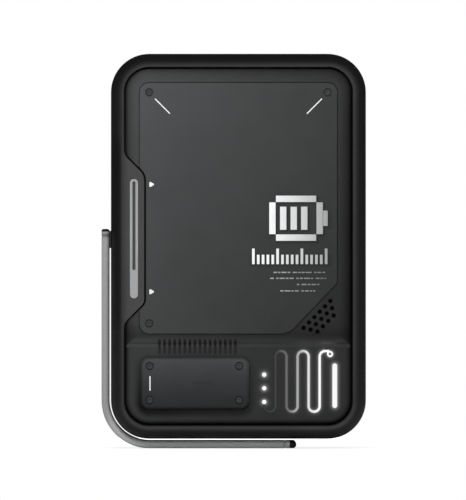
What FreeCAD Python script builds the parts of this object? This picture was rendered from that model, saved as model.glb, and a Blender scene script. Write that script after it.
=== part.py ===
# Portable power station: upright case with a swing-out bail stand, slide control,
# light-pipe display, screwed battery cover and service hatch on the front,
# ports on the right flank, fan outlet at the rear.
# Frame: +Z up, -Y is the front, +X to the right seen from the front, millimetres.
# Origin: centre of the bounding box at the level the part stands on.
import FreeCAD, Part
import math
import os

V = FreeCAD.Vector

# ---------------------------------------------------------------- driving sizes
CASE_W = 199.0          # case width (X)
CASE_H = 300.5          # case height (Z)
CASE_D = 140.0          # case depth (Y), feet included
CORNER_R = 30.0         # case corner radius seen from the front
WALL = 3.0              # shell wall
ROD_D = 5.8             # bail tube diameter
ROD_GAP = 1.5           # clear gap between bail tube and case
ARM_Y = 42.0            # bail arms stand at +/- this Y
BEZEL_T = 10.4          # bezel width seen from the front
BEZEL_DEPTH = 34.8      # depth of each bezel, from the front plane
CREST = 1.2             # bezel crest below the front plane
GROOVE = 1.2            # crease between bezel and fascia
SHOULDER_R = 9.3        # rounded shoulder of the fascia
FLOOR = 5.0             # lower display floor below the front plane
STEP_TOP = 87.5         # where the raised upper area starts to slope down
PANEL_X = 77.5          # half width of the battery cover pocket
PANEL_Z0, PANEL_Z1 = 88.9, 285.5
PANEL_GAP = 0.35
PANEL_TH = 2.4
PIVOT_Z = 167.2         # bail hinge axis height
SLIDE_X = -81.4         # slide control centre line
SLIDE_Z0, SLIDE_Z1 = 116.8, 210.0
SLIDE_W = 6.4
SLIDE_SLOT_W = 2.7
SLIT_W = 0.9            # slit in the floor of the trim that the stem passes
THUMB_TOP = 139.0
SLIDE_TRAVEL = 69.0
LIGHT_W = 1.8           # width of the serpentine light pipe
LIGHT_PITCH = 8.6
PORT_Y = 25.0           # half width of the port window
PORT_Z0, PORT_Z1 = 42.0, 272.0
BUTTON_TRAVEL = 1.2
BADGE_PROUD = 0.4       # badge blocks stand this far off the front face
LENS_PROUD = 0.6        # light pipes stand this far off the display floor

BASE = ROD_D + ROD_GAP                 # case underside above the ground
HX = CASE_W / 2.0
Z0, Z1 = BASE, BASE + CASE_H
YB = -CASE_D / 2.0                     # front of the badge blocks
YF, YR = YB + BADGE_PROUD, CASE_D / 2.0   # front and rear planes
OFFSET_X = (ROD_D + ROD_GAP) / 2.0     # case centre in the row frame
ROD_R = ROD_D / 2.0
ROD_X = -HX - ROD_GAP - ROD_R          # centre line of the upright run
CORE_R = 1.95
BARREL_R = 2.4
PIN_R = 1.25

OUT = {}


def tidy(shape):
    """Merges split faces where that leaves a valid solid."""
    merged = shape.removeSplitter()
    return merged if merged.isValid() else shape


def put(name, shape):
    """Keeps a node, moved from case-centred X into the row frame."""
    if isinstance(shape, (list, tuple)):
        shape = Part.makeCompound(list(shape))
    s = shape.copy()
    s.translate(V(OFFSET_X, 0, 0))
    OUT[name] = s


# ---------------------------------------------------------------- small helpers
def box(x0, x1, y0, y1, z0, z1):
    return Part.makeBox(x1 - x0, y1 - y0, z1 - z0, V(x0, y0, z0))


def cyl_y(x, z, r, y0, y1):
    return Part.makeCylinder(r, y1 - y0, V(x, y0, z), V(0, 1, 0))


def cyl_x(y, z, r, x0, x1):
    return Part.makeCylinder(r, x1 - x0, V(x0, y, z), V(1, 0, 0))


def cyl_z(x, y, r, z0, z1):
    return Part.makeCylinder(r, z1 - z0, V(x, y, z0), V(0, 0, 1))


def outline(points):
    """Closed wire in the XZ plane at Y=0 from (x, z, corner radius) points."""
    n = len(points)
    tang = []
    for i in range(n):
        x, z, r = points[i]
        px, pz, _ = points[i - 1]
        qx, qz, _ = points[(i + 1) % n]
        p, a, b = V(x, 0, z), V(px - x, 0, pz - z), V(qx - x, 0, qz - z)
        a.normalize()
        b.normalize()
        if r <= 1e-6:
            tang.append((p, None, p))
            continue
        half = math.acos(max(-1, min(1, a.dot(b)))) / 2.0
        d = r / math.tan(half)
        bis = (a + b)
        bis.normalize()
        mid = p + bis * (r / math.sin(half) - r)
        tang.append((p + a * d, mid, p + b * d))
    edges = []
    for i in range(n):
        s, m, e = tang[i]
        if m is not None:
            edges.append(Part.Arc(s, m, e).toShape())
        nxt = tang[(i + 1) % n][0]
        if e.distanceToPoint(nxt) > 1e-5:
            edges.append(Part.LineSegment(e, nxt).toShape())
    return Part.Wire(edges)


def prism(points, y0, y1):
    f = Part.Face(outline(points))
    f.translate(V(0, y0, 0))
    return f.extrude(V(0, y1 - y0, 0))


def rrect(x0, x1, z0, z1, r):
    return [(x0, z0, r), (x1, z0, r), (x1, z1, r), (x0, z1, r)]


def rbox(x0, x1, z0, z1, r, y0, y1):
    return prism(rrect(x0, x1, z0, z1, r), y0, y1)


def rbox_x(y0, y1, z0, z1, r, x0, x1):
    """Rounded block whose outline lies in the YZ plane, running x0 to x1."""
    s = prism(rrect(y0, y1, z0, z1, r), 0, x1 - x0)
    s.rotate(V(0, 0, 0), V(0, 0, 1), 90)      # x->y, y->-x
    s.translate(V(x1, 0, 0))
    return s


def capsule(xc, z0, z1, w, y0, y1):
    r = w / 2.0
    return prism([(xc - r, z0, r * 0.9999), (xc + r, z0, r * 0.9999),
                  (xc + r, z1, r * 0.9999), (xc - r, z1, r * 0.9999)], y0, y1)


def case_outline(t, r=None):
    """Rounded outline of the case, inset by t."""
    return rrect(-HX + t, HX - t, Z0 + t, Z1 - t, CORNER_R - t if r is None else r)


def edges_at_y(shape, y, keep=None, tol=1e-4):
    found = []
    for e in shape.Edges:
        b = e.BoundBox
        if abs(b.YMin - y) < tol and abs(b.YMax - y) < tol and (keep is None or keep(e)):
            found.append(e)
    return found


def try_fillet(shape, r, edges):
    if not edges:
        return shape
    for k in (1.0, 0.7, 0.45):
        try:
            s = shape.makeFillet(r * k, edges)
            if s.isValid() and s.Volume > 0.5 * shape.Volume:
                return s
        except Exception:
            pass
    print("fillet skipped", r, len(edges))
    return shape


def ring(profile):
    """Sweeps a closed profile round the case outline. profile(t, y) points come
    as a face in the XY plane at X = HX - t; straight runs are extruded and the
    corners are turned about the corner axis."""
    sx, sz = HX - CORNER_R, CASE_H / 2.0 - CORNER_R
    zc = (Z0 + Z1) / 2.0
    solids = []
    right = profile.copy()
    right.translate(V(0, 0, zc - sz))
    solids.append(right.extrude(V(0, 0, 2 * sz)))
    left = solids[0].copy()
    left.rotate(V(0, 0, zc), V(0, 1, 0), 180)
    solids.append(left)
    corner = profile.copy()
    corner.translate(V(0, 0, zc + sz))
    turned = corner.revolve(V(sx, 0, zc + sz), V(0, -1, 0), 90)
    solids.append(turned)
    c2 = turned.copy()
    c2.rotate(V(0, 0, zc), V(0, 1, 0), 180)
    solids.append(c2)
    top_face = profile.copy()
    top_face.translate(V(0, 0, zc + sz))
    top_face.rotate(V(sx, 0, zc + sz), V(0, -1, 0), 90)
    top = top_face.extrude(V(-2 * sx, 0, 0))
    solids.append(top)
    bottom = top.copy()
    bottom.rotate(V(0, 0, zc), V(0, 1, 0), 180)
    solids.append(bottom)
    corner = profile.copy()
    corner.translate(V(0, 0, zc - sz))
    turned = corner.revolve(V(sx, 0, zc - sz), V(0, 1, 0), 90)
    solids.append(turned)
    c4 = turned.copy()
    c4.rotate(V(0, 0, zc), V(0, 1, 0), 180)
    solids.append(c4)
    s = solids[0]
    s = s.fuse(solids[1:])
    return s.removeSplitter()


def prof(edges):
    return Part.Face(Part.Wire(edges))


def line(p, q):
    return Part.LineSegment(p, q).toShape()


def P(t, y):
    return V(HX - t, y, 0)


def screw(x, z, y_head, head_r, head_h, r, length, way=1, hexa=True, dome=0.35):
    """Cap screw along Y. y_head is the head's outer face, way=+1 runs into +Y."""
    y1 = y_head + way * head_h
    h = cyl_y(x, z, head_r, min(y_head, y1), max(y_head, y1))
    h = try_fillet(h, dome, edges_at_y(h, y_head))
    y2 = y1 + way * length
    s = cyl_y(x, z, r, min(y1, y2), max(y1, y2))
    out = h.fuse(s)
    if hexa:
        pts = []
        for i in range(6):
            a = math.radians(60 * i + 30)
            pts.append((x + head_r * 0.5 * math.cos(a), z + head_r * 0.5 * math.sin(a), 0))
        ya, yb = sorted((y_head - way * 0.1, y_head + way * head_h * 0.6))
        out = out.cut(prism(pts, ya, yb))
    return out.removeSplitter()


# ---------------------------------------------------------------- case shells
def bezel_profile(front=True):
    """Closed section of a bezel ring: long elliptical flank, narrow crest."""
    s = -1 if front else 1
    face = -YF if front else YR
    depth = BEZEL_DEPTH - (YR - face)
    Y = lambda d: s * (face - d)
    a, b = 9.5, depth - CREST
    pts = []
    n = 14
    for i in range(n + 1):
        u = math.pi / 2 * i / n
        pts.append(P(a - a * math.cos(u), Y(depth - b * math.sin(u))))
    sp = Part.BSplineCurve()
    t0 = V(0, Y(0) - Y(1), 0) * (1.0)
    t0.normalize()
    t1 = V(-1, 0, 0)
    sp.interpolate(pts, InitialTangent=t0 * 20, FinalTangent=t1 * 12)
    e = [sp.toShape()]
    e.append(line(P(a, Y(CREST)), P(BEZEL_T, Y(CREST))))
    e.append(line(P(BEZEL_T, Y(CREST)), P(BEZEL_T, Y(12.0))))
    e.append(line(P(BEZEL_T, Y(12.0)), P(6.2, Y(12.0))))
    e.append(line(P(6.2, Y(12.0)), P(WALL, Y(depth))))
    e.append(line(P(WALL, Y(depth)), P(0, Y(depth))))
    return prof(e)


BOSS = [(sx * (HX - CORNER_R + 15.2), z) for sx in (-1, 1)
        for z in (Z0 + CORNER_R - 15.2, Z1 - CORNER_R + 15.2)]


def with_bosses(s, front=True):
    sg = -1 if front else 1
    ya, yb = sorted((sg * (CASE_D / 2.0 - 14.8), sg * (CASE_D / 2.0 - BEZEL_DEPTH)))
    for x, z in BOSS:
        s = s.fuse(cyl_y(x, z, 4.6, ya, yb))
    for x, z in BOSS:
        s = s.cut(cyl_y(x, z, 2.1, ya - 1, yb + 1))
    return s


# console: the flat block of the front bezel that carries the slide control
CON_X = -73.3                               # inner edge of the console
CON_Z = (113.5, 213.2)                      # where its inner edge turns off at 45 degrees


def console_outline(grow=0.0, back=0.0):
    """Outline of the console; grow widens it, back carries it into the bezel."""
    g, k = grow, 0.4142 * grow
    xin, xr, xo = CON_X + g, -HX + BEZEL_T + g, -HX + BEZEL_T - back
    run = CON_X + HX - BEZEL_T
    zi0, zi1 = CON_Z[0] - k, CON_Z[1] + k
    zo0, zo1 = CON_Z[0] - run - k, CON_Z[1] + run + k
    return [(xo, zo1 + 9, 0), (xr, zo1 + 9, 0), (xr, zo1, 10.0 - g), (xin, zi1, 11.0 + g),
            (xin, zi0, 7.0 + g), (xr, zo0, 10.0 - g), (xr, zo0 - 9, 0), (xo, zo0 - 9, 0)]


def edge_loop(shape, y, inside):
    """Edges of a bezel's inner crest edge."""
    return [e for e in edges_at_y(shape, y) if inside(e)]


def is_crest_edge(e):
    """True for edges lying on the inner boundary, not on the flank's tangent edge."""
    zc, hz = (Z0 + Z1) / 2.0, CASE_H / 2.0
    m = e.valueAt((e.FirstParameter + e.LastParameter) / 2.0)
    x, z = abs(m.x), abs(m.z - zc)
    cx_, cz_ = HX - CORNER_R, hz - CORNER_R
    if x > cx_ and z > cz_:
        t = CORNER_R - math.hypot(x - cx_, z - cz_)
    else:
        t = min(HX - x, hz - z)
    return t > BEZEL_T - 0.1


bezel = ring(bezel_profile(True))
bezel = bezel.fuse(prism(console_outline(0, 2.2), YF + CREST, YF + 12.0)).removeSplitter()
bezel = try_fillet(bezel, 0.35, edge_loop(bezel, YF + CREST, is_crest_edge))
bezel = with_bosses(bezel, True)
# recess and slot of the slide control
bezel = bezel.cut(capsule(SLIDE_X, SLIDE_Z0 - 0.1, SLIDE_Z1 + 0.1, SLIDE_W + 0.2, YF - 1, YF + 2.4))
bezel = bezel.cut(capsule(SLIDE_X, SLIDE_Z0 + 1.5, SLIDE_Z1 - 1.5, 1.6, YF, YF + 13))
put("front_bezel", tidy(bezel))

rear_bezel = ring(bezel_profile(False))
rear_bezel = try_fillet(rear_bezel, 0.5, edge_loop(rear_bezel, YR - CREST, is_crest_edge))
rear_bezel = with_bosses(rear_bezel, False)
for x, z in BOSS:                           # head seats of the case bolts
    rear_bezel = rear_bezel.cut(cyl_y(x, z, 3.7, YR - 17.4, YR - 14))
put("rear_bezel", tidy(rear_bezel))

SH = CASE_D / 2.0 - BEZEL_DEPTH - 1.0      # half depth of the shell
shell = prism(case_outline(0), -SH, SH).cut(prism(case_outline(WALL), -SH - 1, SH + 1))
window = rbox_x(-PORT_Y, PORT_Y, PORT_Z0, PORT_Z1, 6.0, HX - 8, HX + 5)
shell = shell.cut(window)
HINGE_SCREWS = [(y, 160.0) for y in (-28.5, -9.5, 9.5, 28.5)]
for y, z in HINGE_SCREWS:
    shell = shell.cut(cyl_x(y, z, 2.1, -HX - 1, -HX + WALL + 1))
for i in range(9):                          # intake louvres between the bail arms
    z = 44.0 + 9.0 * i
    shell = shell.cut(rbox_x(-22, 22, z, z + 2.6, 1.25, -HX - 1, -HX + WALL + 1))
edge = [e for e in shell.Edges if abs(e.BoundBox.XMin - HX) < 1e-3 and abs(e.BoundBox.YMax) < PORT_Y + 0.1
        and abs(e.BoundBox.YMin) < PORT_Y + 0.1]
shell = try_fillet(shell, 0.8, edge)
put("main_shell", shell)


def seam(y0, y1):
    return prism(case_outline(0.7), y0, y1).cut(prism(case_outline(2.5), y0 - 1, y1 + 1))


put("shell_gaskets", [seam(-SH - 1.0, -SH), seam(SH, SH + 1.0)])

# ---------------------------------------------------------------- fascia
FT = BEZEL_T + 0.9                          # fascia edge, inset from the case
fascia_pts = case_outline(FT)
full = prism(fascia_pts, YF, YF + 14.4)
full = try_fillet(full, SHOULDER_R, edges_at_y(full, YF))
# lower display floor: cut down to FLOOR, with its own soft edge
low = prism(fascia_pts, YF + FLOOR, YF + 14.4)
low = try_fillet(low, 4.6, edges_at_y(low, YF + FLOOR))
# the raised area runs down to the display floor in a soft S-shaped slope
RA, RB, TH = 6.5, 4.2, math.radians(58.0)


def slope_point(k, phi):
    """Point on the slope: k = 0 on the convex arc, 1 on the concave one."""
    if k == 0:
        return V(0, YF + RA * (1 - math.cos(phi)), STEP_TOP - RA * math.sin(phi))
    p = slope_point(0, TH)
    return V(0, p.y - RB * math.cos(TH) + RB * math.cos(phi), p.z - RB * math.sin(TH) + RB * math.sin(phi))


s0, s1, s2 = slope_point(0, 0), slope_point(0, TH), slope_point(1, 0)
edges = [line(V(0, YF - 1, Z1 + 5), V(0, YF - 1, STEP_TOP)), line(V(0, YF - 1, STEP_TOP), s0),
         Part.Arc(s0, slope_point(0, TH / 2), s1).toShape(), Part.Arc(s1, slope_point(1, TH / 2), s2).toShape(),
         line(s2, V(0, YF + 15, s2.z)), line(V(0, YF + 15, s2.z), V(0, YF + 15, Z1 + 5)),
         line(V(0, YF + 15, Z1 + 5), V(0, YF - 1, Z1 + 5))]
above = Part.Face(Part.Wire(edges)).extrude(V(2 * HX + 10, 0, 0))
above.translate(V(-HX - 5, 0, 0))
upper = full.common(above)
fascia = upper.fuse(low).removeSplitter()
# flange that the bezel clamps
flange = prism(case_outline(6.7), YF + 12.0, YF + 14.4)
fascia = fascia.fuse(flange)
# hollow back
back = prism(case_outline(FT + 3.2), YF + FLOOR + 3.0, YF + 15)
back = back.cut(prism(console_outline(GROOVE + 2.4), YF + 5, YF + 16))
fascia = fascia.cut(back)
# pocket of the battery cover
PANEL = [(-PANEL_X, PANEL_Z0, 8.0), (39.5, PANEL_Z0, 15.0), (PANEL_X, 128.8, 2.0),
         (PANEL_X, PANEL_Z1, 8.0), (-PANEL_X, PANEL_Z1, 8.0)]


def panel_pts(g):
    """Battery cover outline, inset by g on every side."""
    c = g * (math.sqrt(2) - 1)
    return [(-PANEL_X + g, PANEL_Z0 + g, 8.0 - g), (39.5 - c, PANEL_Z0 + g, 15.0 + g),
            (PANEL_X - g, 128.8 + c, 2.0), (PANEL_X - g, PANEL_Z1 - g, 8.0 - g),
            (-PANEL_X + g, PANEL_Z1 - g, 8.0 - g)]


fascia = fascia.cut(prism(panel_pts(0.0), YF - 1, YF + PANEL_TH))
# notch round the console
notch = prism(console_outline(GROOVE, 2.0), YF - 1, YF + 12.0)
fascia = fascia.cut(notch)
# stem slot behind the console
fascia = fascia.cut(capsule(SLIDE_X, SLIDE_Z0 + 1.5, SLIDE_Z1 - 1.5, 3.4, YF + 5, YF + 15))

# speaker-like vent holes in the cut-off corner
HOLES = []
for (hx, hz), n in (((71.7, 114.9), 6), ((73.0, 109.4), 5), ((74.2, 103.6), 4)):
    for i in range(n):
        HOLES.append((hx - 4.18 * i, hz - 4.18 * i))
tools = [cyl_y(x, z, 1.7, YF - 1, YF + 10) for x, z in HOLES]
# grille slots under the raised area
SLOTS = [-61.5 + 3.947 * i for i in range(16)]
tools += [capsule(x, 73.6, 85.2, 1.9, YF - 1, YF + 9) for x in SLOTS]
sunk = fascia.copy()
sunk.translate(V(0, 0.6, 0))
COMB = []                                   # pads of the dust filter that stand in the slots
for x in SLOTS:
    COMB.append(capsule(x, 73.68, 85.12, 1.78, YF - 1, YF + FLOOR + 3.0).common(sunk))
for t in tools:
    fascia = fascia.cut(t)

# light-pipe windows
LX = [28.9 + LIGHT_PITCH * i for i in range(5)]
LZ0, LZ1 = 33.0, 71.6                      # centres of the lower and upper bends
DOT_X = 20.1
DOTS = [57.5, 46.9, 36.25]
RING_C = (71.4, 73.6)


def serpentine(w, y0, y1):
    """Open channel of width w: from the third dot down, up and down, to the ring."""
    r = LIGHT_PITCH / 2.0
    segs = []

    def up(x, za, zb):
        segs.append(box(x - w / 2, x + w / 2, y0, y1, za, zb))

    def bend(xa, xb, z, top):
        xc, rr = (xa + xb) / 2.0, abs(xb - xa) / 2.0
        s = cyl_y(xc, z, rr + w / 2, y0, y1).cut(cyl_y(xc, z, rr - w / 2, y0 - 1, y1 + 1))
        keep = box(xc - rr - w, xc + rr + w, y0 - 1, y1 + 1, z if top else z - rr - w, z + rr + w if top else z)
        segs.append(s.common(keep))

    up(DOT_X, LZ0, DOTS[2] - 2.0)
    bend(DOT_X, LX[0], LZ0, False)
    for i, x in enumerate(LX):
        up(x, LZ0, LZ1)
        if i < 4:
            bend(x, LX[i + 1], LZ1 if i % 2 == 0 else LZ0, i % 2 == 0)
    # last quarter turn to the ring
    xc = LX[4] + r
    s = cyl_y(xc, LZ1, r + w / 2, y0, y1).cut(cyl_y(xc, LZ1, r - w / 2, y0 - 1, y1 + 1))
    segs.append(s.common(box(xc - r - w, xc, y0 - 1, y1 + 1, LZ1, LZ1 + r + w)))
    segs.append(box(xc, RING_C[0] - 0.5, y0, y1, LZ1 + r - w / 2, LZ1 + r + w / 2))
    segs.append(cyl_y(RING_C[0], RING_C[1], 2.4 + (w - LIGHT_W) / 2, y0, y1))
    s = segs[0].fuse(segs[1:])
    return s.removeSplitter()


FLY = YF + FLOOR
serp_cut = serpentine(LIGHT_W + 0.1, FLY - 1, FLY + 4)
fascia = fascia.cut(serp_cut)
BAR = (75.1, 31.6, 66.2, 3.6)
fascia = fascia.cut(capsule(BAR[0], BAR[1] - 0.05, BAR[2] + 0.05, BAR[3] + 0.1, FLY - 1, FLY + 4))
for z in DOTS:
    fascia = fascia.cut(cyl_y(DOT_X, z, 1.65, FLY - 1, FLY + 4))
# service opening and hatch seat
HATCH = (-76.1, 8.7, 30.5, 71.5)
HATCH_SCREWS = [(x, z) for x in (-69.2, 0.6) for z in (37.6, 64.2)]
fascia = fascia.cut(rbox(-62, -7, 37.0, 65.5, 3.0, FLY - 1, FLY + 4))
for x, z in HATCH_SCREWS:
    fascia = fascia.cut(cyl_y(x, z, 1.55, FLY - 1, FLY + 4))
PANEL_SCREWS = [(-69.5, 277.4), (69.5, 277.4), (-69.5, 97.4)]
for x, z in PANEL_SCREWS:
    fascia = fascia.cut(cyl_y(x, z, 1.55, YF, YF + 9))
bay = rbox(-64.5, -4.5, 34.5, 68.0, 4.0, FLY + 3.0, FLY + 26).cut(
    rbox(-62.5, -6.5, 36.5, 66.0, 3.0, FLY + 2, FLY + 24.4))
fascia = fascia.fuse(bay)                   # moulded pocket behind the hatch
put("front_fascia", tidy(fascia))

# ---------------------------------------------------------------- battery cover
panel = prism(panel_pts(PANEL_GAP), YF, YF + PANEL_TH)
panel = panel.cut(prism(console_outline(GROOVE, 2.0), YF - 1, YF + 12))
rim = edges_at_y(panel, YF)
panel = try_fillet(panel, 0.7, rim)
for x, z in PANEL_SCREWS:
    panel = panel.cut(cyl_y(x, z, 3.3, YF - 1, YF + 1.7)).cut(cyl_y(x, z, 1.55, YF - 1, YF + 5))
# shallow seats of the printed-look inlays
INLAY_D = 0.5


def bar_between(a, b, w, y0, y1):
    dx, dz = b[0] - a[0], b[1] - a[1]
    n = math.hypot(dx, dz)
    ux, uz = dx / n, dz / n
    px, pz = -uz * w / 2, ux * w / 2
    r = w * 0.45
    return prism([(a[0] + px, a[1] + pz, r), (a[0] - px, a[1] - pz, r),
                  (b[0] - px, b[1] - pz, r), (b[0] + px, b[1] + pz, r)], y0, y1)


def markers(g, y0, y1):
    m = [bar_between((-65.1, 272.6), (-53.3, 260.8), 0.85 + g, y0, y1),
         bar_between((65.1, 272.6), (53.3, 260.8), 0.85 + g, y0, y1)]
    for zc in (205.75, 122.15):
        k = g / 2
        m.append(prism([(-69.4 - k, zc - 2.5 - k * 1.8, 0.75), (-65.0 + 2 * k, zc, 0.75),
                        (-69.4 - k, zc + 2.5 + k * 1.8, 0.75)], y0, y1))
    return m


def badge(g, y0, y1):
    """Raised generic battery pictogram, a row of level ticks and four rule lines."""
    k = g / 2
    b = []

    def blk(xa, xb, za, zb):
        b.append(box(xa - k, xb + k, y0, y1, za - k, zb + k))

    # battery outline made of separate blocks, stepped corners
    blk(29.2, 60.6, 192.0, 197.0)
    blk(29.2, 60.6, 161.8, 166.8)
    blk(24.0, 29.0, 167.0, 191.8)
    blk(60.8, 65.8, 167.0, 191.8)
    blk(66.0, 69.6, 173.4, 185.4)
    # charge blocks
    blk(32.4, 37.4, 170.4, 188.4)
    blk(40.6, 45.6, 170.4, 188.4)
    blk(48.8, 53.8, 170.4, 188.4)
    # level ticks
    for i in range(16):
        x = 10.6 + i * 3.78
        h = 12.2 if i % 5 == 0 else 7.4
        blk(x, x + 2.1, 143.6, 143.6 + h)
    return b


def rules(g, y0, y1):
    """Rows of short plain dashes."""
    k = g / 2
    r = []
    runs = (2.9, 1.7, 4.1, 2.2, 3.4, 1.9, 2.6, 4.6, 1.8, 3.1, 2.3)
    n = 0
    for z, xa, xb in ((137.2, 27.3, 69.2), (132.6, 24.7, 68.4), (127.8, 45.6, 64.4), (122.8, 32.6, 59.8)):
        x = xa
        while x < xb - 1.2:
            e = min(x + runs[n % 11], xb)
            r.append(box(x - k, e + k, y0, y1, z - 0.5 - k, z + 0.5 + k))
            x = e + (1.9 if n % 4 == 3 else 0.75)
            n += 1
    return r


for t in markers(0.04, YF - 1, YF + INLAY_D) + badge(0.04, YF - 1, YF + INLAY_D) + rules(0.04, YF - 1, YF + INLAY_D):
    panel = panel.cut(t)
put("battery_cover", panel)
def eased(block, r=0.12):
    return try_fillet(block, r, edges_at_y(block, block.BoundBox.YMin))


put("badge_blocks", [eased(b) for b in badge(0, YB, YF + INLAY_D)]
    + [eased(b, 0.08) for b in rules(0, YF - 0.15, YF + INLAY_D)])
put("cover_screws", [screw(x, z, YF + 0.35, 2.75, 1.35, 1.5, 5.6, dome=0.9) for x, z in PANEL_SCREWS])

# ---------------------------------------------------------------- service hatch
hx0, hx1, hz0, hz1 = HATCH
hatch = rbox(hx0, hx1, hz0, hz1, 6.5, YF + 1.0, FLY - 0.6)
hatch = try_fillet(hatch, 2.8, edges_at_y(hatch, YF + 1.0))
for x, z in HATCH_SCREWS:
    hatch = hatch.cut(cyl_y(x, z, 3.3, YF - 1, YF + 2.7)).cut(cyl_y(x, z, 1.55, YF - 1, FLY + 1))
hatch = hatch.cut(capsule(-68.9, 44.9, 56.5, 1.04, YF, YF + 1.5))
ridge = box(-35.6, -22.4, YF + 0.72, YF + 1.5, 50.9, 51.8)
hatch = hatch.fuse(try_fillet(ridge, 0.2, edges_at_y(ridge, YF + 0.72)))
put("service_hatch", hatch)
put("marker_inlays", markers(0, YF - 0.08, YF + INLAY_D) + [capsule(-68.9, 44.92, 56.48, 1.0, YF + 1.0, YF + 1.5)])
gask = rbox(hx0 + 1.5, hx1 - 1.5, hz0 + 1.5, hz1 - 1.5, 5.0, FLY - 0.6, FLY)
gask = gask.cut(rbox(-63, -6, 36, 66.5, 3.0, FLY - 2, FLY + 1))
for x, z in HATCH_SCREWS:
    gask = gask.cut(cyl_y(x, z, 1.6, FLY - 2, FLY + 1))
put("hatch_gasket", gask)
put("hatch_screws", [screw(x, z, YF + 1.35, 2.75, 1.35, 1.5, 4.8, dome=0.9) for x, z in HATCH_SCREWS])
fuse = rbox(-58, -42, 46, 58, 1.0, FLY + 18, FLY + 24.4)
put("service_fuse", [fuse, box(-56, -44, FLY + 9, FLY + 18, 49.5, 54.5)])

# ---------------------------------------------------------------- slide control
trim = capsule(SLIDE_X, SLIDE_Z0, SLIDE_Z1, SLIDE_W, YF + 0.65, YF + 2.4)
trim = try_fillet(trim, 0.35, edges_at_y(trim, YF + 0.65))
trim = trim.cut(capsule(SLIDE_X, SLIDE_Z0 + 1.85, SLIDE_Z1 - 1.85, SLIDE_SLOT_W, YF, YF + 1.85))
trim = trim.cut(capsule(SLIDE_X, SLIDE_Z0 + 2.3, SLIDE_Z1 - 2.3, SLIT_W, YF, YF + 4))
put("slide_trim", trim)
thumb = capsule(SLIDE_X, SLIDE_Z0 + 0.1, THUMB_TOP + 1.6, SLIDE_W - 0.2, YF + 0.05, YF + 0.6)
thumb = thumb.cut(cyl_y(SLIDE_X, THUMB_TOP + 1.35, SLIDE_SLOT_W / 2, YF - 1, YF + 2))
thumb = thumb.cut(box(SLIDE_X - SLIDE_SLOT_W / 2, SLIDE_X + SLIDE_SLOT_W / 2, YF - 1, YF + 2,
                      THUMB_TOP + 1.35, THUMB_TOP + 5))
thumb = try_fillet(thumb, 0.25, edges_at_y(thumb, YF + 0.05))
stem = capsule(SLIDE_X, SLIDE_Z0 + 2.5, THUMB_TOP - 3.4, SLIT_W - 0.2, YF + 0.6, YF + 19.5)
thumb = thumb.fuse(stem)
put("slide_thumb", tidy(thumb))
potx0, potx1 = SLIDE_X - 4.5, SLIDE_X + 4.5
pot = box(potx0, potx1, YF + 14.4, YF + 22.5, 110.0, 217.0)
pot = pot.cut(box(SLIDE_X - 1.6, SLIDE_X + 1.6, YF + 14, YF + 20.2, 114.0, 213.0))
put("slide_potentiometer", pot)

# ---------------------------------------------------------------- light pipes
y0, y1 = FLY, FLY + 4.8
serp = serpentine(LIGHT_W, FLY - LENS_PROUD, FLY + 3.0)
serp = serp.cut(cyl_y(RING_C[0], RING_C[1], 1.1, y0 - 1, y1 + 1))
serp = try_fillet(serp, 0.5, edges_at_y(serp, FLY - LENS_PROUD))
lug = [cyl_y(LX[i], (LZ0 + LZ1) / 2, 0.85, FLY + 2.0, y1) for i in range(5)]
serp = serp.fuse(lug).removeSplitter()
put("light_pipe_serpentine", serp)
bar = capsule(BAR[0], BAR[1], BAR[2], BAR[3], FLY - LENS_PROUD, y1)
put("light_pipe_bar", try_fillet(bar, 0.55, edges_at_y(bar, FLY - LENS_PROUD)))
dots = []
for z in DOTS:
    d = cyl_y(DOT_X, z, 1.6, FLY - LENS_PROUD, y1)
    dots.append(try_fillet(d, 0.58, edges_at_y(d, FLY - LENS_PROUD)))
put("light_pipe_dots", dots)
led = rbox(12.0, 80.0, 26.0, 80.0, 10.0, FLY + 4.8, FLY + 6.4)
put("led_board", led)

# vent mesh behind the holes and the grille
mesh = prism([(46.0, 93.5, 1), (50.0, 87.5, 1), (79.0, 87.5, 1), (79.0, 121.0, 1), (73.5, 121.0, 1)],
             FLY + 3.0, FLY + 3.6)
mesh2 = rbox(-64.0, 0.5, 72.0, 86.5, 1.0, FLY + 3.0, FLY + 3.6)
mesh2 = tidy(mesh2.fuse(COMB))
put("vent_mesh", [mesh, mesh2])

# ---------------------------------------------------------------- rear panel
rp = prism(case_outline(FT), YR - 14.4, YR - 3.0)
rp = try_fillet(rp, 5.0, edges_at_y(rp, YR - 3.0))
rp = rp.fuse(prism(case_outline(6.7), YR - 14.4, YR - 12.0))
rp = rp.cut(prism(case_outline(FT + 3.2), YR - 15, YR - 6.0))
FANC = (18.0, 214.0)
for i in range(-5, 6):
    half = math.sqrt(max(0, 29.0 ** 2 - (5.2 * i) ** 2))
    if half > 6:
        slot = prism([(FANC[0] - half, FANC[1] + 5.2 * i - 1.3, 1.29), (FANC[0] + half, FANC[1] + 5.2 * i - 1.3, 1.29),
                      (FANC[0] + half, FANC[1] + 5.2 * i + 1.3, 1.29), (FANC[0] - half, FANC[1] + 5.2 * i + 1.3, 1.29)],
                     YR - 8, YR + 1)
        rp = rp.cut(slot)
for i in range(14):
    x = -58.5 + 9.0 * i
    rp = rp.cut(capsule(x, 40.0, 66.0, 2.6, YR - 8, YR + 1))
FEET = [(sx * 66.0, z) for sx in (-1, 1) for z in (Z0 + 33.0, Z1 - 33.0)]
for x, z in FEET:
    rp = rp.cut(cyl_y(x, z, 8.1, YR - 4.2, YR + 1))
RSCREWS = [(sx * 76.0, z) for sx in (-1, 1) for z in (Z0 + 62.0, (Z0 + Z1) / 2, Z1 - 62.0)]
for x, z in RSCREWS:
    rp = rp.cut(cyl_y(x, z, 3.3, YR - 4.9, YR + 1)).cut(cyl_y(x, z, 1.55, YR - 8, YR + 1))
put("rear_panel", rp)
feet = []
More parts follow.
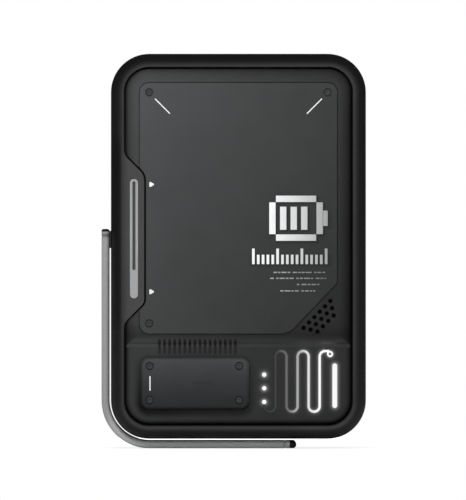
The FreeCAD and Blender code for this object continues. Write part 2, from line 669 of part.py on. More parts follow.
for x, z in FEET:
    f = cyl_y(x, z, 8.0, YR - 4.2, YR)
    f = try_fillet(f, 1.2, edges_at_y(f, YR))
    feet.append(f)
put("rear_feet", feet)
put("rear_screws", [screw(x, z, YR - 3.4, 2.9, 1.5, 1.5, 5.0, way=-1) for x, z in RSCREWS])
bolts = []
for x, z in BOSS:
    h = cyl_y(x, z, 3.5, YR - 17.4, YR - 15.0).cut(
        prism([(x + 1.7 * math.cos(math.radians(60 * i)), z + 1.7 * math.sin(math.radians(60 * i)), 0)
               for i in range(6)], YR - 16.6, YR - 14))
    bolts.append(h.fuse(cyl_y(x, z, 2.0, YF + 17.0, YR - 17.4)))
put("case_bolts", bolts)

# ---------------------------------------------------------------- bail stand
HB_Y = ARM_Y - ROD_R - 0.05
hb = box(-HX - ROD_GAP - ROD_D + 0.6, -HX, -HB_Y, HB_Y, 156.2, PIVOT_Z + BARREL_R)
hb = hb.cut(box(-HX - 20, ROD_X, -50, 50, PIVOT_Z, 180))
hb = hb.fuse(cyl_y(ROD_X, PIVOT_Z, BARREL_R, -HB_Y, HB_Y))
hb = hb.removeSplitter()
hb_edges = [e for e in hb.Edges if abs(e.BoundBox.XMin + HX + ROD_GAP + ROD_D - 0.6) < 1e-3
            and e.BoundBox.ZMax < 157 and e.BoundBox.YLength > 50]
hb = try_fillet(hb, 2.0, hb_edges)
hb = hb.cut(cyl_y(ROD_X, PIVOT_Z, PIN_R + 0.06, -50, 50))
for y, z in HINGE_SCREWS:
    hb = hb.cut(cyl_x(y, z, 2.05, -HX - 5.1, -HX + 1))
put("hinge_block", tidy(hb))
hs = []
for y, z in HINGE_SCREWS:
    hs.append(cyl_x(y, z, 2.0, -HX - 5.0, -HX + WALL).fuse(cyl_x(y, z, 3.5, -HX + WALL, -HX + WALL + 2.4)))
put("hinge_screws", hs)
put("hinge_pin", cyl_y(ROD_X, PIVOT_Z, PIN_R, -ARM_Y - 2.0, ARM_Y + 2.0))
TUBE_TOP = 169.0
TUBE_END = 40.0
GRIP_X = 45.2 - ROD_R
cz = Z0 + CORNER_R
cx = -HX + CORNER_R
RC = CORNER_R + ROD_GAP + ROD_R


def bail_path(y, ztop, xend):
    a, b = V(ROD_X, y, ztop), V(ROD_X, y, cz)
    m = V(cx - RC * math.cos(math.radians(45)), y, cz - RC * math.sin(math.radians(45)))
    c, d = V(cx, y, cz - RC), V(xend, y, cz - RC)
    return Part.Wire([line(a, b), Part.Arc(b, m, c).toShape(), line(c, d)])


def tube(path, r, start, direction):
    w = Part.Wire(Part.Circle(start, direction, r).toShape())
    s = path.makePipeShell([w], True, False)
    return s


for s, tag in ((-1, "front"), (1, "rear")):
    y = s * ARM_Y
    outer = tube(bail_path(y, TUBE_TOP, TUBE_END), ROD_R, V(ROD_X, y, TUBE_TOP), V(0, 0, -1))
    inner = tube(bail_path(y, TUBE_TOP + 1, TUBE_END + 1), 2.0, V(ROD_X, y, TUBE_TOP + 1), V(0, 0, -1))
    t = outer.cut(inner)
    # hole for the hinge pin, from the inner side
    ya, yb = sorted((y - s * 6, y + s * 2.0))
    t = t.cut(cyl_y(ROD_X, PIVOT_Z, PIN_R, ya, yb))
    # crimp grooves that lock the end fittings
    for z in (165.4,):
        t = t.cut(cyl_z(ROD_X, y, 4.0, z - 0.5, z + 0.5).cut(cyl_z(ROD_X, y, ROD_R - 0.35, z - 1, z + 1)))
    for x in (36.4,):
        t = t.cut(cyl_x(y, cz - RC, 4.0, x - 0.5, x + 0.5).cut(cyl_x(y, cz - RC, ROD_R - 0.35, x - 1, x + 1)))
    put("bail_tube_" + tag, t)
plugs = []
for s in (-1, 1):
    y = s * ARM_Y
    d = cyl_z(ROD_X, y, ROD_R, TUBE_TOP, 171.1)
    top = [e for e in d.Edges if abs(e.BoundBox.ZMin - 171.1) < 1e-3]
    d = try_fillet(d, 1.7, top)
    d = d.fuse(cyl_z(ROD_X, y, 1.95, 158.0, TUBE_TOP)).removeSplitter()
    ya, yb = sorted((y - s * 6, y + s * 2.0))
    d = d.cut(cyl_y(ROD_X, PIVOT_Z, PIN_R, ya, yb))
    plugs.append(d)
put("bail_end_plugs", plugs)


def crossbar(r, xin):
    zc = cz - RC
    parts = [cyl_y(GRIP_X, zc, r, -ARM_Y, ARM_Y)]
    for s in (-1, 1):
        parts.append(Part.makeSphere(r, V(GRIP_X, s * ARM_Y, zc), V(0, 0, 1)))
        parts.append(cyl_x(s * ARM_Y, zc, r, xin, GRIP_X))
    return parts[0].fuse(parts[1:]).removeSplitter()


core = crossbar(CORE_R, 24.0)
grip = crossbar(ROD_R, TUBE_END).cut(crossbar(CORE_R, 20.0))
for s in (-1, 1):
    grip = grip.cut(cyl_x(s * ARM_Y, cz - RC, ROD_R + 0.2, 20, TUBE_END))
put("bail_core", core)
put("bail_grip", grip)

# ---------------------------------------------------------------- port side
px1 = HX - WALL                             # inner face of the right wall
plate = rbox_x(-PORT_Y - 4, PORT_Y + 4, PORT_Z0 - 4, PORT_Z1 + 4, 6.0, px1 - 2.6, px1)
BTN = {"power_button": (0.0, 258.0, 7.0), "ac_button": (-13.0, 229.0, 5.0), "dc_button": (-13.0, 131.0, 5.0)}
AC = [205.0, 166.0]
USB_C = [(6.0, 131.0), (6.0, 119.0)]
USB_A = [(-9.0, 108.0), (9.0, 108.0)]
DCJ = [(-10.0, 92.0), (10.0, 92.0)]
INJ = (13.0, 229.0)
CAR = (0.0, 63.0)
for n, (y, z, r) in BTN.items():
    plate = plate.cut(cyl_x(y, z, r + 0.25, px1 - 5, px1 + 1))
for z in AC:
    plate = plate.cut(rbox_x(-14.1, 14.1, z - 17.1, z + 17.1, 4.1, px1 - 5, px1 + 1))
for y, z in USB_C:
    plate = plate.cut(rbox_x(y - 4.6, y + 4.6, z - 1.75, z + 1.75, 1.7, px1 - 5, px1 + 1))
for y, z in USB_A:
    plate = plate.cut(rbox_x(y - 6.7, y + 6.7, z - 2.95, z + 2.95, 0.5, px1 - 5, px1 + 1))
for y, z in DCJ + [INJ]:
    plate = plate.cut(cyl_x(y, z, 4.55, px1 - 5, px1 + 1))
plate = plate.cut(cyl_x(CAR[0], CAR[1], 13.1, px1 - 5, px1 + 1))
PSCREWS = [(sy * 20.5, z) for sy in (-1, 1) for z in (47.5, 148.0, 266.5)]
for y, z in PSCREWS:
    plate = plate.cut(cyl_x(y, z, 1.3, px1 - 5, px1 + 1))
# hinge lugs of the socket flap
FLAP_Y, FLAP_X = -15.6, px1 + 1.45
for z0_, z1_ in ((CAR[1] - 9.0, CAR[1] - 5.2), (CAR[1] + 5.2, CAR[1] + 9.0)):
    lug_ = box(px1, FLAP_X, FLAP_Y - 1.4, FLAP_Y + 1.4, z0_, z1_).fuse(cyl_z(FLAP_X, FLAP_Y, 1.4, z0_, z1_))
    plate = plate.fuse(lug_)
put("port_plate", tidy(plate.cut(cyl_z(FLAP_X, FLAP_Y, 0.65, CAR[1] - 10, CAR[1] + 10))))
put("flap_pin", cyl_z(FLAP_X, FLAP_Y, 0.6, CAR[1] - 9.0, CAR[1] + 9.0))
psc = []
for y, z in PSCREWS:
    h = cyl_x(y, z, 2.2, px1, px1 + 1.1)
    e = [q for q in h.Edges if abs(q.BoundBox.XMin - px1 - 1.1) < 1e-3]
    h = try_fillet(h, 0.5, e).fuse(cyl_x(y, z, 1.25, px1 - 21.5, px1))
    h = h.cut(box(px1 + 0.5, px1 + 2, y - 1.5, y + 1.5, z - 0.3, z + 0.3)).cut(
        box(px1 + 0.5, px1 + 2, y - 0.3, y + 0.3, z - 1.5, z + 1.5))
    psc.append(h)
put("port_screws", psc)


def ac_outlet(z):
    b = rbox_x(-14.0, 14.0, z - 17.0, z + 17.0, 4.0, px1 - 24, px1 + 0.8)
    e = [q for q in b.Edges if abs(q.BoundBox.XMin - px1 - 0.8) < 1e-3]
    b = try_fillet(b, 0.7, e)
    # two blade slots and a round-topped earth hole
    b = b.cut(box(px1 - 16, px1 + 2, -7.35, -5.35, z - 1.2, z + 7.2))
    b = b.cut(box(px1 - 16, px1 + 2, 5.35, 7.35, z - 0.4, z + 6.4))
    eh = cyl_x(0, z - 8.0, 2.6, px1 - 16, px1 + 2)
    b = b.cut(eh)
    return b


put("ac_outlets", [ac_outlet(z) for z in AC])
usba = []
for y, z in USB_A:
    s = rbox_x(y - 6.6, y + 6.6, z - 2.85, z + 2.85, 0.5, px1 - 18.4, px1 + 0.2).cut(
        rbox_x(y - 6.2, y + 6.2, z - 2.45, z + 2.45, 0.3, px1 - 15, px1 + 1))
    s = s.fuse(box(px1 - 15, px1 - 1.0, y - 5.6, y + 5.6, z + 0.2, z + 2.0))
    usba.append(s)
put("usb_a_ports", usba)
usbc = []
for y, z in USB_C:
    s = rbox_x(y - 4.5, y + 4.5, z - 1.65, z + 1.65, 1.6, px1 - 18.4, px1 + 0.2).cut(
        rbox_x(y - 4.17, y + 4.17, z - 1.3, z + 1.3, 1.28, px1 - 13, px1 + 1))
    s = s.fuse(box(px1 - 13, px1 - 1.0, y - 3.3, y + 3.3, z - 0.35, z + 0.35))
    usbc.append(s)
put("usb_c_ports", usbc)


def barrel(y, z, bore, pin):
    s = cyl_x(y, z, 4.5, px1 - 18.4, px1 + 0.4)
    e = [q for q in s.Edges if abs(q.BoundBox.XMin - px1 - 0.4) < 1e-3]
    s = try_fillet(s, 0.4, e)
    s = s.cut(cyl_x(y, z, bore, px1 - 11, px1 + 1))
    return s.fuse(cyl_x(y, z, pin, px1 - 11.5, px1 - 1.0))


put("dc_jacks", [barrel(y, z, 2.85, 1.05) for y, z in DCJ])
put("input_jack", barrel(INJ[0], INJ[1], 3.6, 0.5))
SOCK_R = 10.5                                # 12 V socket, 21 mm bore
sock = cyl_x(CAR[0], CAR[1], 13.0, px1 - 42, px1 + 0.4)
e = [q for q in sock.Edges if abs(q.BoundBox.XMin - px1 - 0.4) < 1e-3]
sock = try_fillet(sock, 0.8, e)
sock = sock.cut(cyl_x(CAR[0], CAR[1], SOCK_R, px1 - 38, px1 + 1))
put("car_socket", sock.fuse(cyl_x(CAR[0], CAR[1], 3.0, px1 - 38, px1 - 36.4)))
flap = cyl_x(CAR[0], CAR[1], 12.6, px1 + 0.5, px1 + 2.4)
flap = flap.fuse(box(px1 + 0.5, px1 + 2.4, FLAP_Y, -8.0, CAR[1] - 5.0, CAR[1] + 5.0))
flap = flap.cut(box(px1, px1 + 3, FLAP_Y - 3, FLAP_Y, CAR[1] - 6, CAR[1] + 6))
flap = flap.fuse(cyl_z(FLAP_X, FLAP_Y, 0.95, CAR[1] - 5.0, CAR[1] + 5.0))
flap = flap.cut(cyl_z(FLAP_X, FLAP_Y, 0.65, CAR[1] - 6, CAR[1] + 6))
flap = flap.fuse(cyl_x(CAR[0], CAR[1], 10.6, px1 + 2.4, px1 + 2.8).cut(cyl_x(CAR[0], CAR[1], 9.8, px1 + 2, px1 + 3)))
flap = flap.fuse(box(px1 + 0.5, px1 + 2.4, 11.5, 14.5, CAR[1] - 3.5, CAR[1] + 3.5))
put("socket_flap", tidy(flap))

PBX = 76.0                                   # port board plane
board = rbox_x(-23.6, 23.6, 44, 272, 2.0, PBX, PBX + 1.6)
board = board.cut(cyl_x(CAR[0], CAR[1], 13.4, PBX - 1, PBX + 3))
for y, z in PSCREWS:
    board = board.cut(cyl_x(y, z, 1.3, PBX - 1, PBX + 3))
for z in AC:
    board = board.cut(rbox_x(-14.3, 14.3, z - 17.3, z + 17.3, 4.0, PBX - 1, PBX + 3))
put("port_board", board)
for n, (y, z, r) in BTN.items():
    cap = cyl_x(y, z, r, px1 - 3.2, px1 + 1.9)
    e = [q for q in cap.Edges if abs(q.BoundBox.XMin - px1 - 1.9) < 1e-3]
    cap = try_fillet(cap, 0.6, e)
    cap = cap.fuse(cyl_x(y, z, r + 1.2, px1 - 4.0, px1 - 2.9))
    cap = cap.fuse(cyl_x(y, z, 1.6, PBX + 7.6 + BUTTON_TRAVEL, px1 - 4.0))
    put(n, tidy(cap))
put("button_switches", [box(PBX + 1.6, PBX + 7.4, y - 3, y + 3, z - 3, z + 3) for y, z, r in BTN.values()])

# ---------------------------------------------------------------- internals
CELL_X = (-89.0, 60.0)
CELL_Z = (101.0, 282.0)
cells = []
cy0 = -44.0
for i in range(7):
    ya = cy0 + i * 7.4
    c = rbox(CELL_X[0], CELL_X[1], CELL_Z[0], CELL_Z[1], 3.0, ya, ya + 7.2)
    cells.append(c)
put("battery_cells", cells)
ty0, ty1 = cy0 - 2.0, cy0 + 7 * 7.4 + 1.8
tray = box(CELL_X[0] - 2.2, CELL_X[1] + 2.2, ty0, ty1, CELL_Z[0] - 2.2, CELL_Z[1] + 2.2)
tray = tray.cut(box(CELL_X[0] - 0.2, CELL_X[1] + 0.2, cy0 - 0.2, ty1 + 1, CELL_Z[0] - 0.2, CELL_Z[1] + 12))
put("battery_tray", tray)
put("cell_busbars", [box(-80 + 22 * i, -66 + 22 * i, cy0 + 1 + 7.4 * (i % 3), cy0 + 20 + 7.4 * (i % 3), 282.4, 283.4)
                     for i in range(6)])
put("bms_board", box(-62, 36, -38, -2, 283.4, 285.0))
CPY = ty1 + 0.6
chassis = box(-93.5, 46.0, CPY, CPY + 2.0, 14.0, 300.0)
chassis = chassis.cut(rbox(-93.6 - 5, -76.0, 8.0, 30.5, 2.0, CPY - 1, CPY + 3))
chassis = chassis.cut(rbox(-93.6 - 5, -76.0, 284.0, 305, 2.0, CPY - 1, CPY + 3))
for x in (-60, -20, 20):
    chassis = chassis.cut(rbox(x - 12, x + 12, 40, 84, 4, CPY - 1, CPY + 3))
IBY = CPY + 8.0
for x in (-80, 38):                         # pressed-in standoffs of the inverter board
    for z in (110, 286):
        chassis = chassis.fuse(cyl_y(x, z, 3.0, CPY + 2.0, IBY))
put("chassis_plate", tidy(chassis))
put("inverter_board", rbox(-86, 44, 104, 289, 3, IBY, IBY + 1.6))
hsk = box(-82, -46, IBY + 1.6, IBY + 5.6, 115, 255)
for i in range(7):
    hsk = hsk.fuse(box(-82 + 5.75 * i, -80.5 + 5.75 * i, IBY + 5.6, IBY + 27, 115, 255))
put("heat_sink", tidy(hsk))
tr = box(-34, 0, IBY + 1.6, IBY + 24, 118, 160)
tr = tr.fuse(rbox(-29, -5, 123, 155, 3, IBY + 24, IBY + 29))
put("transformer", tidy(tr))
put("capacitors", [cyl_y(x, z, 9.0, IBY + 1.6, IBY + 30) for x, z in ((16, 130), (36 - 1, 130), (16, 150), (35, 150))])
# fan
FY0, FY1 = YR - 21.5, YR - 6.0
ff = rbox(FANC[0] - 30, FANC[0] + 30, FANC[1] - 30, FANC[1] + 30, 4.0, FY0, FY1)
ff = ff.cut(cyl_y(FANC[0], FANC[1], 28.4, FY0 - 1, FY1 + 1))
for a in (45, 135, 225, 315):
    ca, sa = math.cos(math.radians(a)), math.sin(math.radians(a))
    ff = ff.cut(cyl_y(FANC[0] + 35.4 * ca * 0.99, FANC[1] + 35.4 * sa * 0.99, 2.0, FY0 - 1, FY1 + 1))
    arm = box(-1.5, 1.5, FY0, FY0 + 2.0, 9, 29.5)
    arm.rotate(V(0, 0, 0), V(0, 1, 0), a)
    arm.translate(V(FANC[0], 0, FANC[1]))
    ff = ff.fuse(arm)
ff = ff.fuse(cyl_y(FANC[0], FANC[1], 10.0, FY0, FY0 + 2.0))
ff = ff.fuse(cyl_y(FANC[0], FANC[1], 2.0, FY0, FY0 + 9.0))
put("fan_frame", tidy(ff))
hub = cyl_y(FANC[0], FANC[1], 11.0, FY0 + 2.6, FY1 - 0.6).cut(cyl_y(FANC[0], FANC[1], 2.05, FY0 + 2, FY0 + 9.6))
blades = []
for i in range(7):
    a = 360.0 / 7 * i
    w = Part.makePolygon([V(FANC[0] + 10.0, FY0 + 3.4, FANC[1] - 5.5), V(FANC[0] + 26.4, FY0 + 3.4, FANC[1] - 8.0),
                          V(FANC[0] + 26.4, FY0 + 5.0, FANC[1] - 8.0), V(FANC[0] + 10.0, FY0 + 5.0, FANC[1] - 5.5),
                          V(FANC[0] + 10.0, FY0 + 3.4, FANC[1] - 5.5)])
    w2 = Part.makePolygon([V(FANC[0] + 10.0, FY1 - 3.2, FANC[1] + 2.5), V(FANC[0] + 25.9, FY1 - 3.2, FANC[1] + 5.0),
                           V(FANC[0] + 25.9, FY1 - 1.6, FANC[1] + 5.0), V(FANC[0] + 10.0, FY1 - 1.6, FANC[1] + 2.5),
                           V(FANC[0] + 10.0, FY1 - 3.2, FANC[1] + 2.5)])
    b = Part.makeLoft([w, w2], True, True)
    b.rotate(V(FANC[0], 0, FANC[1]), V(0, 1, 0), a)
    blades.append(b)
rotor = hub.fuse(blades)
put("fan_rotor", tidy(rotor))
# power leads held between the battery and the inverter
def lead(points, r):
    """Held cable: straight runs joined by tangent arcs."""
    n = len(points)
    edges, last = [], points[0]
    for i in range(1, n - 1):
        p, q, s_ = points[i - 1], points[i], points[i + 1]
        a, b = (p - q), (s_ - q)
        la, lb = a.Length, b.Length
        a.normalize()
        b.normalize()
        half = math.acos(max(-1, min(1, a.dot(b)))) / 2.0
        rad = min(la, lb) * 0.45 * math.tan(half)
        d = rad / math.tan(half)
        bis = a + b
        bis.normalize()
        mid = q + bis * (rad / math.sin(half) - rad)
        edges.append(line(last, q + a * d))
        edges.append(Part.Arc(q + a * d, mid, q + b * d).toShape())
        last = q + b * d
    edges.append(line(last, points[-1]))
    path = Part.Wire(edges)
    d0 = points[1] - points[0]
    w = Part.Wire(Part.Circle(points[0], d0, r).toShape())
    return path.makePipeShell([w], True, False)


leads = []
for i, x in enumerate((50.0, 57.0)):
    leads.append(lead([V(x, -30, 282.0), V(x, -30, 297.0), V(x, 12 + i, 297.0), V(x, 24 + i, 292.0), V(x, 24 + i, 262.0)], 2.2))
put("battery_leads", leads)

# ---------------------------------------------------------------- export
if __name__ == "__main__":
    os.makedirs("parts", exist_ok=True)
    for f in os.listdir("parts"):
        if f.endswith(".step"):
            os.remove(os.path.join("parts", f))
    for name, s in sorted(OUT.items()):
        bad = [q for q in s.Solids if not q.isValid() or q.Volume <= 0]
        note = "" if s.Solids and not bad and s.isValid() else "  <-- CHECK"
        print("%-24s solids %2d  volume %10.1f%s" % (name, len(s.Solids), s.Volume, note))
        s.exportStep("parts/%s.step" % name)
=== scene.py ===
import math

import bpy
import bmesh
from mathutils import Matrix, Vector


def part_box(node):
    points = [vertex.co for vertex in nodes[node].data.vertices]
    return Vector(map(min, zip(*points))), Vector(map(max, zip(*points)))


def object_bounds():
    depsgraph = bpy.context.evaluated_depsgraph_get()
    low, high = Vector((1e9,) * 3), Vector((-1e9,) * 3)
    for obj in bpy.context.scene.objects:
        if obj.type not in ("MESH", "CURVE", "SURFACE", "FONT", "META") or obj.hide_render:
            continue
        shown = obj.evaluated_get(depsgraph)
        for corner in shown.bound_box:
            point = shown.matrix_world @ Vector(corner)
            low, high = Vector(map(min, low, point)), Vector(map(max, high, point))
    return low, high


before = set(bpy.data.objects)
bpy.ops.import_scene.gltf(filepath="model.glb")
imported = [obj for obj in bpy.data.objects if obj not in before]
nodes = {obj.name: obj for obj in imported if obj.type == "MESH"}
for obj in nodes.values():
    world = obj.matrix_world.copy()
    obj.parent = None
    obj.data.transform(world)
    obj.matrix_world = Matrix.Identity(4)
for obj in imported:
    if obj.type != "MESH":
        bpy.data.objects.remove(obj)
cad_lo, cad_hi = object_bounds()
MM = 0.001

# ------------------------------------------------------------------ node helpers


class Graph:
    """Small helper round one material's node tree."""

    def __init__(self, name):
        self.m = bpy.data.materials.new(name)
        self.m.use_nodes = True
        self.t = self.m.node_tree
        self.t.nodes.clear()
        self.out = self.n("ShaderNodeOutputMaterial")
        self.b = self.n("ShaderNodeBsdfPrincipled")
        self.l(self.b.outputs[0], self.out.inputs[0])
        tc = self.n("ShaderNodeTexCoord")
        self.obj = tc.outputs["Object"]

    def n(self, kind, **kw):
        node = self.t.nodes.new(kind)
        for k, v in kw.items():
            setattr(node, k, v)
        return node

    def l(self, a, b):
        self.t.links.new(a, b)

    def math(self, op, a, b=None, c=None, clamp=False):
        m = self.n("ShaderNodeMath", operation=op, use_clamp=clamp)
        for i, v in enumerate((a, b, c)):
            if v is None:
                continue
            if hasattr(v, "links"):
                self.l(v, m.inputs[i])
            else:
                m.inputs[i].default_value = v
        return m.outputs[0]

    def noise(self, scale, detail=2.0, rough=0.5, vec=None, dist=0.0):
        n = self.n("ShaderNodeTexNoise")
        n.inputs["Scale"].default_value = scale
        n.inputs["Detail"].default_value = detail
        n.inputs["Roughness"].default_value = rough
        n.inputs["Distortion"].default_value = dist
        self.l(vec if vec is not None else self.obj, n.inputs["Vector"])
        return n.outputs["Fac"]

    def voronoi(self, scale, vec=None, feature="F1"):
        n = self.n("ShaderNodeTexVoronoi", feature=feature)
        n.inputs["Scale"].default_value = scale
        self.l(vec if vec is not None else self.obj, n.inputs["Vector"])
        return n.outputs["Distance"]

    def span(self, v, a0, a1, b0, b1, clamp=True):
        m = self.n("ShaderNodeMapRange", clamp=clamp)
        for i, x in enumerate((v, a0, a1, b0, b1)):
            if hasattr(x, "links"):
                self.l(x, m.inputs[i])
            else:
                m.inputs[i].default_value = x
        return m.outputs[0]

    def mix(self, fac, a, b):
        m = self.n("ShaderNodeMix", data_type="RGBA")
        for sock, v in ((m.inputs["Factor"], fac), (m.inputs[6], a), (m.inputs[7], b)):
            if hasattr(v, "links"):
                self.l(v, sock)
            elif isinstance(v, (int, float)):
                sock.default_value = v
            else:
                sock.default_value = (*v, 1.0)
        return m.outputs[2]

    def scaled(self, base, factor):
        """base colour times a scalar socket."""
        h = self.n("ShaderNodeVectorMath", operation="SCALE")
        h.inputs[0].default_value = base
        self.l(factor, h.inputs["Scale"])
        return h.outputs[0]

    def xyz(self):
        s = self.n("ShaderNodeSeparateXYZ")
        self.l(self.obj, s.inputs[0])
        return s.outputs

    def normal(self):
        """True surface normal, split."""
        geo = self.n("ShaderNodeNewGeometry")
        sp = self.n("ShaderNodeSeparateXYZ")
        self.l(geo.outputs["Normal"], sp.inputs[0])
        return sp.outputs

    def smooth(self, v, a0, a1, b0, b1):
        m = self.n("ShaderNodeMapRange", interpolation_type="SMOOTHSTEP")
        for i, x in enumerate((v, a0, a1, b0, b1)):
            if hasattr(x, "links"):
                self.l(x, m.inputs[i])
            else:
                m.inputs[i].default_value = x
        return m.outputs[0]

    def box_distance(self, x0, x1, z0, z1, r):
        """Distance in the XZ plane outside a rounded box."""
        x, y, z = self.xyz()
        cx, cz, hx, hz = (x0 + x1) / 2, (z0 + z1) / 2, (x1 - x0) / 2 - r, (z1 - z0) / 2 - r
        dx = self.math("MAXIMUM", self.math("SUBTRACT", self.math("ABSOLUTE", self.math("SUBTRACT", x, cx)), hx), 0.0)
        dz = self.math("MAXIMUM", self.math("SUBTRACT", self.math("ABSOLUTE", self.math("SUBTRACT", z, cz)), hz), 0.0)
        d = self.math("SQRT", self.math("ADD", self.math("MULTIPLY", dx, dx), self.math("MULTIPLY", dz, dz)))
        return self.math("SUBTRACT", d, r)

    def edge(self, radius):
        """1 on outer edges within radius, 0 on flats, and the rounded normal."""
        bv = self.n("ShaderNodeBevel", samples=6)
        bv.inputs["Radius"].default_value = radius
        geo = self.n("ShaderNodeNewGeometry")
        d = self.n("ShaderNodeVectorMath", operation="DOT_PRODUCT")
        self.l(bv.outputs[0], d.inputs[0])
        self.l(geo.outputs["Normal"], d.inputs[1])
        return self.span(d.outputs["Value"], 0.995, 0.86, 0.0, 1.0), bv.outputs[0]

    def bump(self, height, strength, distance, normal=None):
        b = self.n("ShaderNodeBump")
        b.inputs["Strength"].default_value = strength
        b.inputs["Distance"].default_value = distance
        self.l(height, b.inputs["Height"])
        if normal is not None:
            self.l(normal, b.inputs["Normal"])
        return b.outputs[0]


def plastic(name, base, rough=0.55, grain=2400.0, bump=0.3, depth=0.00003, wear=0.25, shade=None,
            mottle=0.05, spec=0.3, edge_round=0.00025, glow_paint=None):
    """Moulded plastic: spark-eroded grain, slight cloudiness, polished and paler edges."""
    g = Graph(name)
    cloud = g.noise(22.0, 3.0, 0.55)
    speck = g.noise(grain * 0.6, 2.0, 0.6)
    tone = g.math("ADD", g.span(cloud, 0.3, 0.7, 1 - mottle, 1 + mottle), g.span(speck, 0.3, 0.7, -0.035, 0.035))
    if shade is not None:
        tone = g.math("MULTIPLY", tone, shade(g))
    col = g.scaled(base, tone)
    mask, soft = g.edge(edge_round)
    nick = g.span(g.noise(260.0, 4.0, 0.7), 0.45, 0.66, 0.25, 1.0)
    w = g.math("MULTIPLY", g.math("MULTIPLY", mask, nick), wear, clamp=True)
    lighter = tuple(min(1.0, c * 2.0 + 0.01) for c in base)
    g.l(g.mix(w, col, lighter), g.b.inputs["Base Color"])
    r = g.math("ADD", g.span(g.noise(60.0, 3.0, 0.6), 0.3, 0.7, rough - 0.05, rough + 0.05),
               g.math("MULTIPLY", mask, -0.10))
    g.l(r, g.b.inputs["Roughness"])
    g.b.inputs["Specular IOR Level"].default_value = spec
    cells = g.math("ADD", g.voronoi(grain), g.math("MULTIPLY", g.noise(grain * 1.7, 2.0, 0.6), 0.7))
    g.l(g.bump(cells, bump, depth, soft), g.b.inputs["Normal"])
    # painted light: an emission glow painted onto the plastic, used for the glow beside the light pipes
    if glow_paint is not None:
        g.b.inputs["Emission Color"].default_value = (1, 1, 1, 1)
        g.l(glow_paint(g), g.b.inputs["Emission Strength"])
    return g.m


def brushed(name, base, rough=0.38, path=None, metallic=1.0, bump=0.25, fine=5200.0, shade=None,
            spec=0.5, streak=1.0):
    """Brushed metal. path gives the corner centre of a bent tube so that the lines follow it."""
    g = Graph(name)
    x, y, z = g.xyz()
    if path is not None:
        cx, cz = path
        dx = g.math("MAXIMUM", g.math("SUBTRACT", cx, x), 0.0)
        dz = g.math("MAXIMUM", g.math("SUBTRACT", cz, z), 0.0)
        r = g.math("SQRT", g.math("ADD", g.math("MULTIPLY", dx, dx), g.math("MULTIPLY", dz, dz)))
        run = g.math("SUBTRACT", x, z)
        c = g.n("ShaderNodeCombineXYZ")
        g.l(g.math("MULTIPLY", r, fine), c.inputs[0])
        g.l(g.math("MULTIPLY", y, fine), c.inputs[1])
        g.l(g.math("MULTIPLY", run, 90.0), c.inputs[2])
        vec = c.outputs[0]
    else:
        mp = g.n("ShaderNodeMapping")
        mp.inputs["Scale"].default_value = (120.0, fine, fine)
        g.l(g.obj, mp.inputs["Vector"])
        vec = mp.outputs[0]
    lines = g.noise(1.0, 3.0, 0.65, vec=vec)
    cloud = g.noise(35.0, 3.0, 0.6)
    tone = g.math("ADD", g.span(lines, 0.25, 0.75, 1 - 0.10 * streak, 1 + 0.08 * streak),
                  g.span(cloud, 0.3, 0.7, -0.05 * streak, 0.05 * streak))
    g.b.inputs["Specular IOR Level"].default_value = spec
    if shade is not None:
        tone = g.math("MULTIPLY", tone, shade(g))
    g.l(g.scaled(base, tone), g.b.inputs["Base Color"])
    g.b.inputs["Metallic"].default_value = metallic
    rr = g.math("ADD", g.span(lines, 0.25, 0.75, rough - 0.06, rough + 0.07), g.span(cloud, 0.3, 0.7, -0.04, 0.04))
    g.l(rr, g.b.inputs["Roughness"])
    mask, soft = g.edge(0.0002)
    g.l(g.bump(lines, bump, 0.00001, soft), g.b.inputs["Normal"])
    return g.m


def rubber(name, base, rough=0.72):
    g = Graph(name)
    cloud = g.noise(45.0, 4.0, 0.6)
    dust = g.noise(900.0, 3.0, 0.7)
    tone = g.math("ADD", g.span(cloud, 0.3, 0.7, 0.85, 1.2), g.span(dust, 0.5, 0.75, 0.0, 0.35))
    g.l(g.scaled(base, tone), g.b.inputs["Base Color"])
    g.l(g.span(cloud, 0.3, 0.7, rough - 0.07, rough + 0.07), g.b.inputs["Roughness"])
    g.b.inputs["Specular IOR Level"].default_value = 0.35
    mask, soft = g.edge(0.00025)
    g.l(g.bump(g.math("ADD", g.voronoi(1900.0), g.noise(3300.0, 2.0)), 0.4, 0.00003, soft), g.b.inputs["Normal"])
    return g.m


def glow(name, level_of, body=(0.030, 0.031, 0.032), spill=5.0, tint=(1.0, 1.0, 1.0)):
    """Frosted light pipe. level_of builds the level along the pipe; the light it throws on its surroundings is spill
    times stronger than the lens itself looks, as an eye or a camera compresses a bright lamp."""
    g = Graph(name)
    haze = g.noise(1400.0, 3.0, 0.6)
    level = level_of(g)
    grain = g.span(haze, 0.3, 0.7, 0.96, 1.03)
    g.b.inputs["Roughness"].default_value = 0.42
    g.b.inputs["Specular IOR Level"].default_value = 0.25
    g.b.inputs["Emission Color"].default_value = (*tint, 1.0)
    g.l(g.mix(level, body, (0.10, 0.10, 0.10)), g.b.inputs["Base Color"])
    lp = g.n("ShaderNodeLightPath")
    boost = g.span(lp.outputs["Is Camera Ray"], 0.0, 1.0, spill, 1.0)
    g.l(g.math("MULTIPLY", g.math("MULTIPLY", grain, level), boost), g.b.inputs["Emission Strength"])
    mask, soft = g.edge(0.0002)
    g.l(g.bump(haze, 0.2, 0.00002, soft), g.b.inputs["Normal"])
    return g.m


def board(name, base=(0.012, 0.085, 0.035)):
    g = Graph(name)
    tr = g.n("ShaderNodeTexBrick")
    tr.inputs["Scale"].default_value = 220.0
    tr.inputs["Mortar Size"].default_value = 0.035
    g.l(g.obj, tr.inputs["Vector"])
    tone = g.span(tr.outputs["Fac"], 0.0, 1.0, 1.0, 1.7)
    g.l(g.scaled(base, tone), g.b.inputs["Base Color"])
    g.b.inputs["Roughness"].default_value = 0.35
    g.l(g.bump(tr.outputs["Fac"], 0.3, 0.00003), g.b.inputs["Normal"])
    return g.m


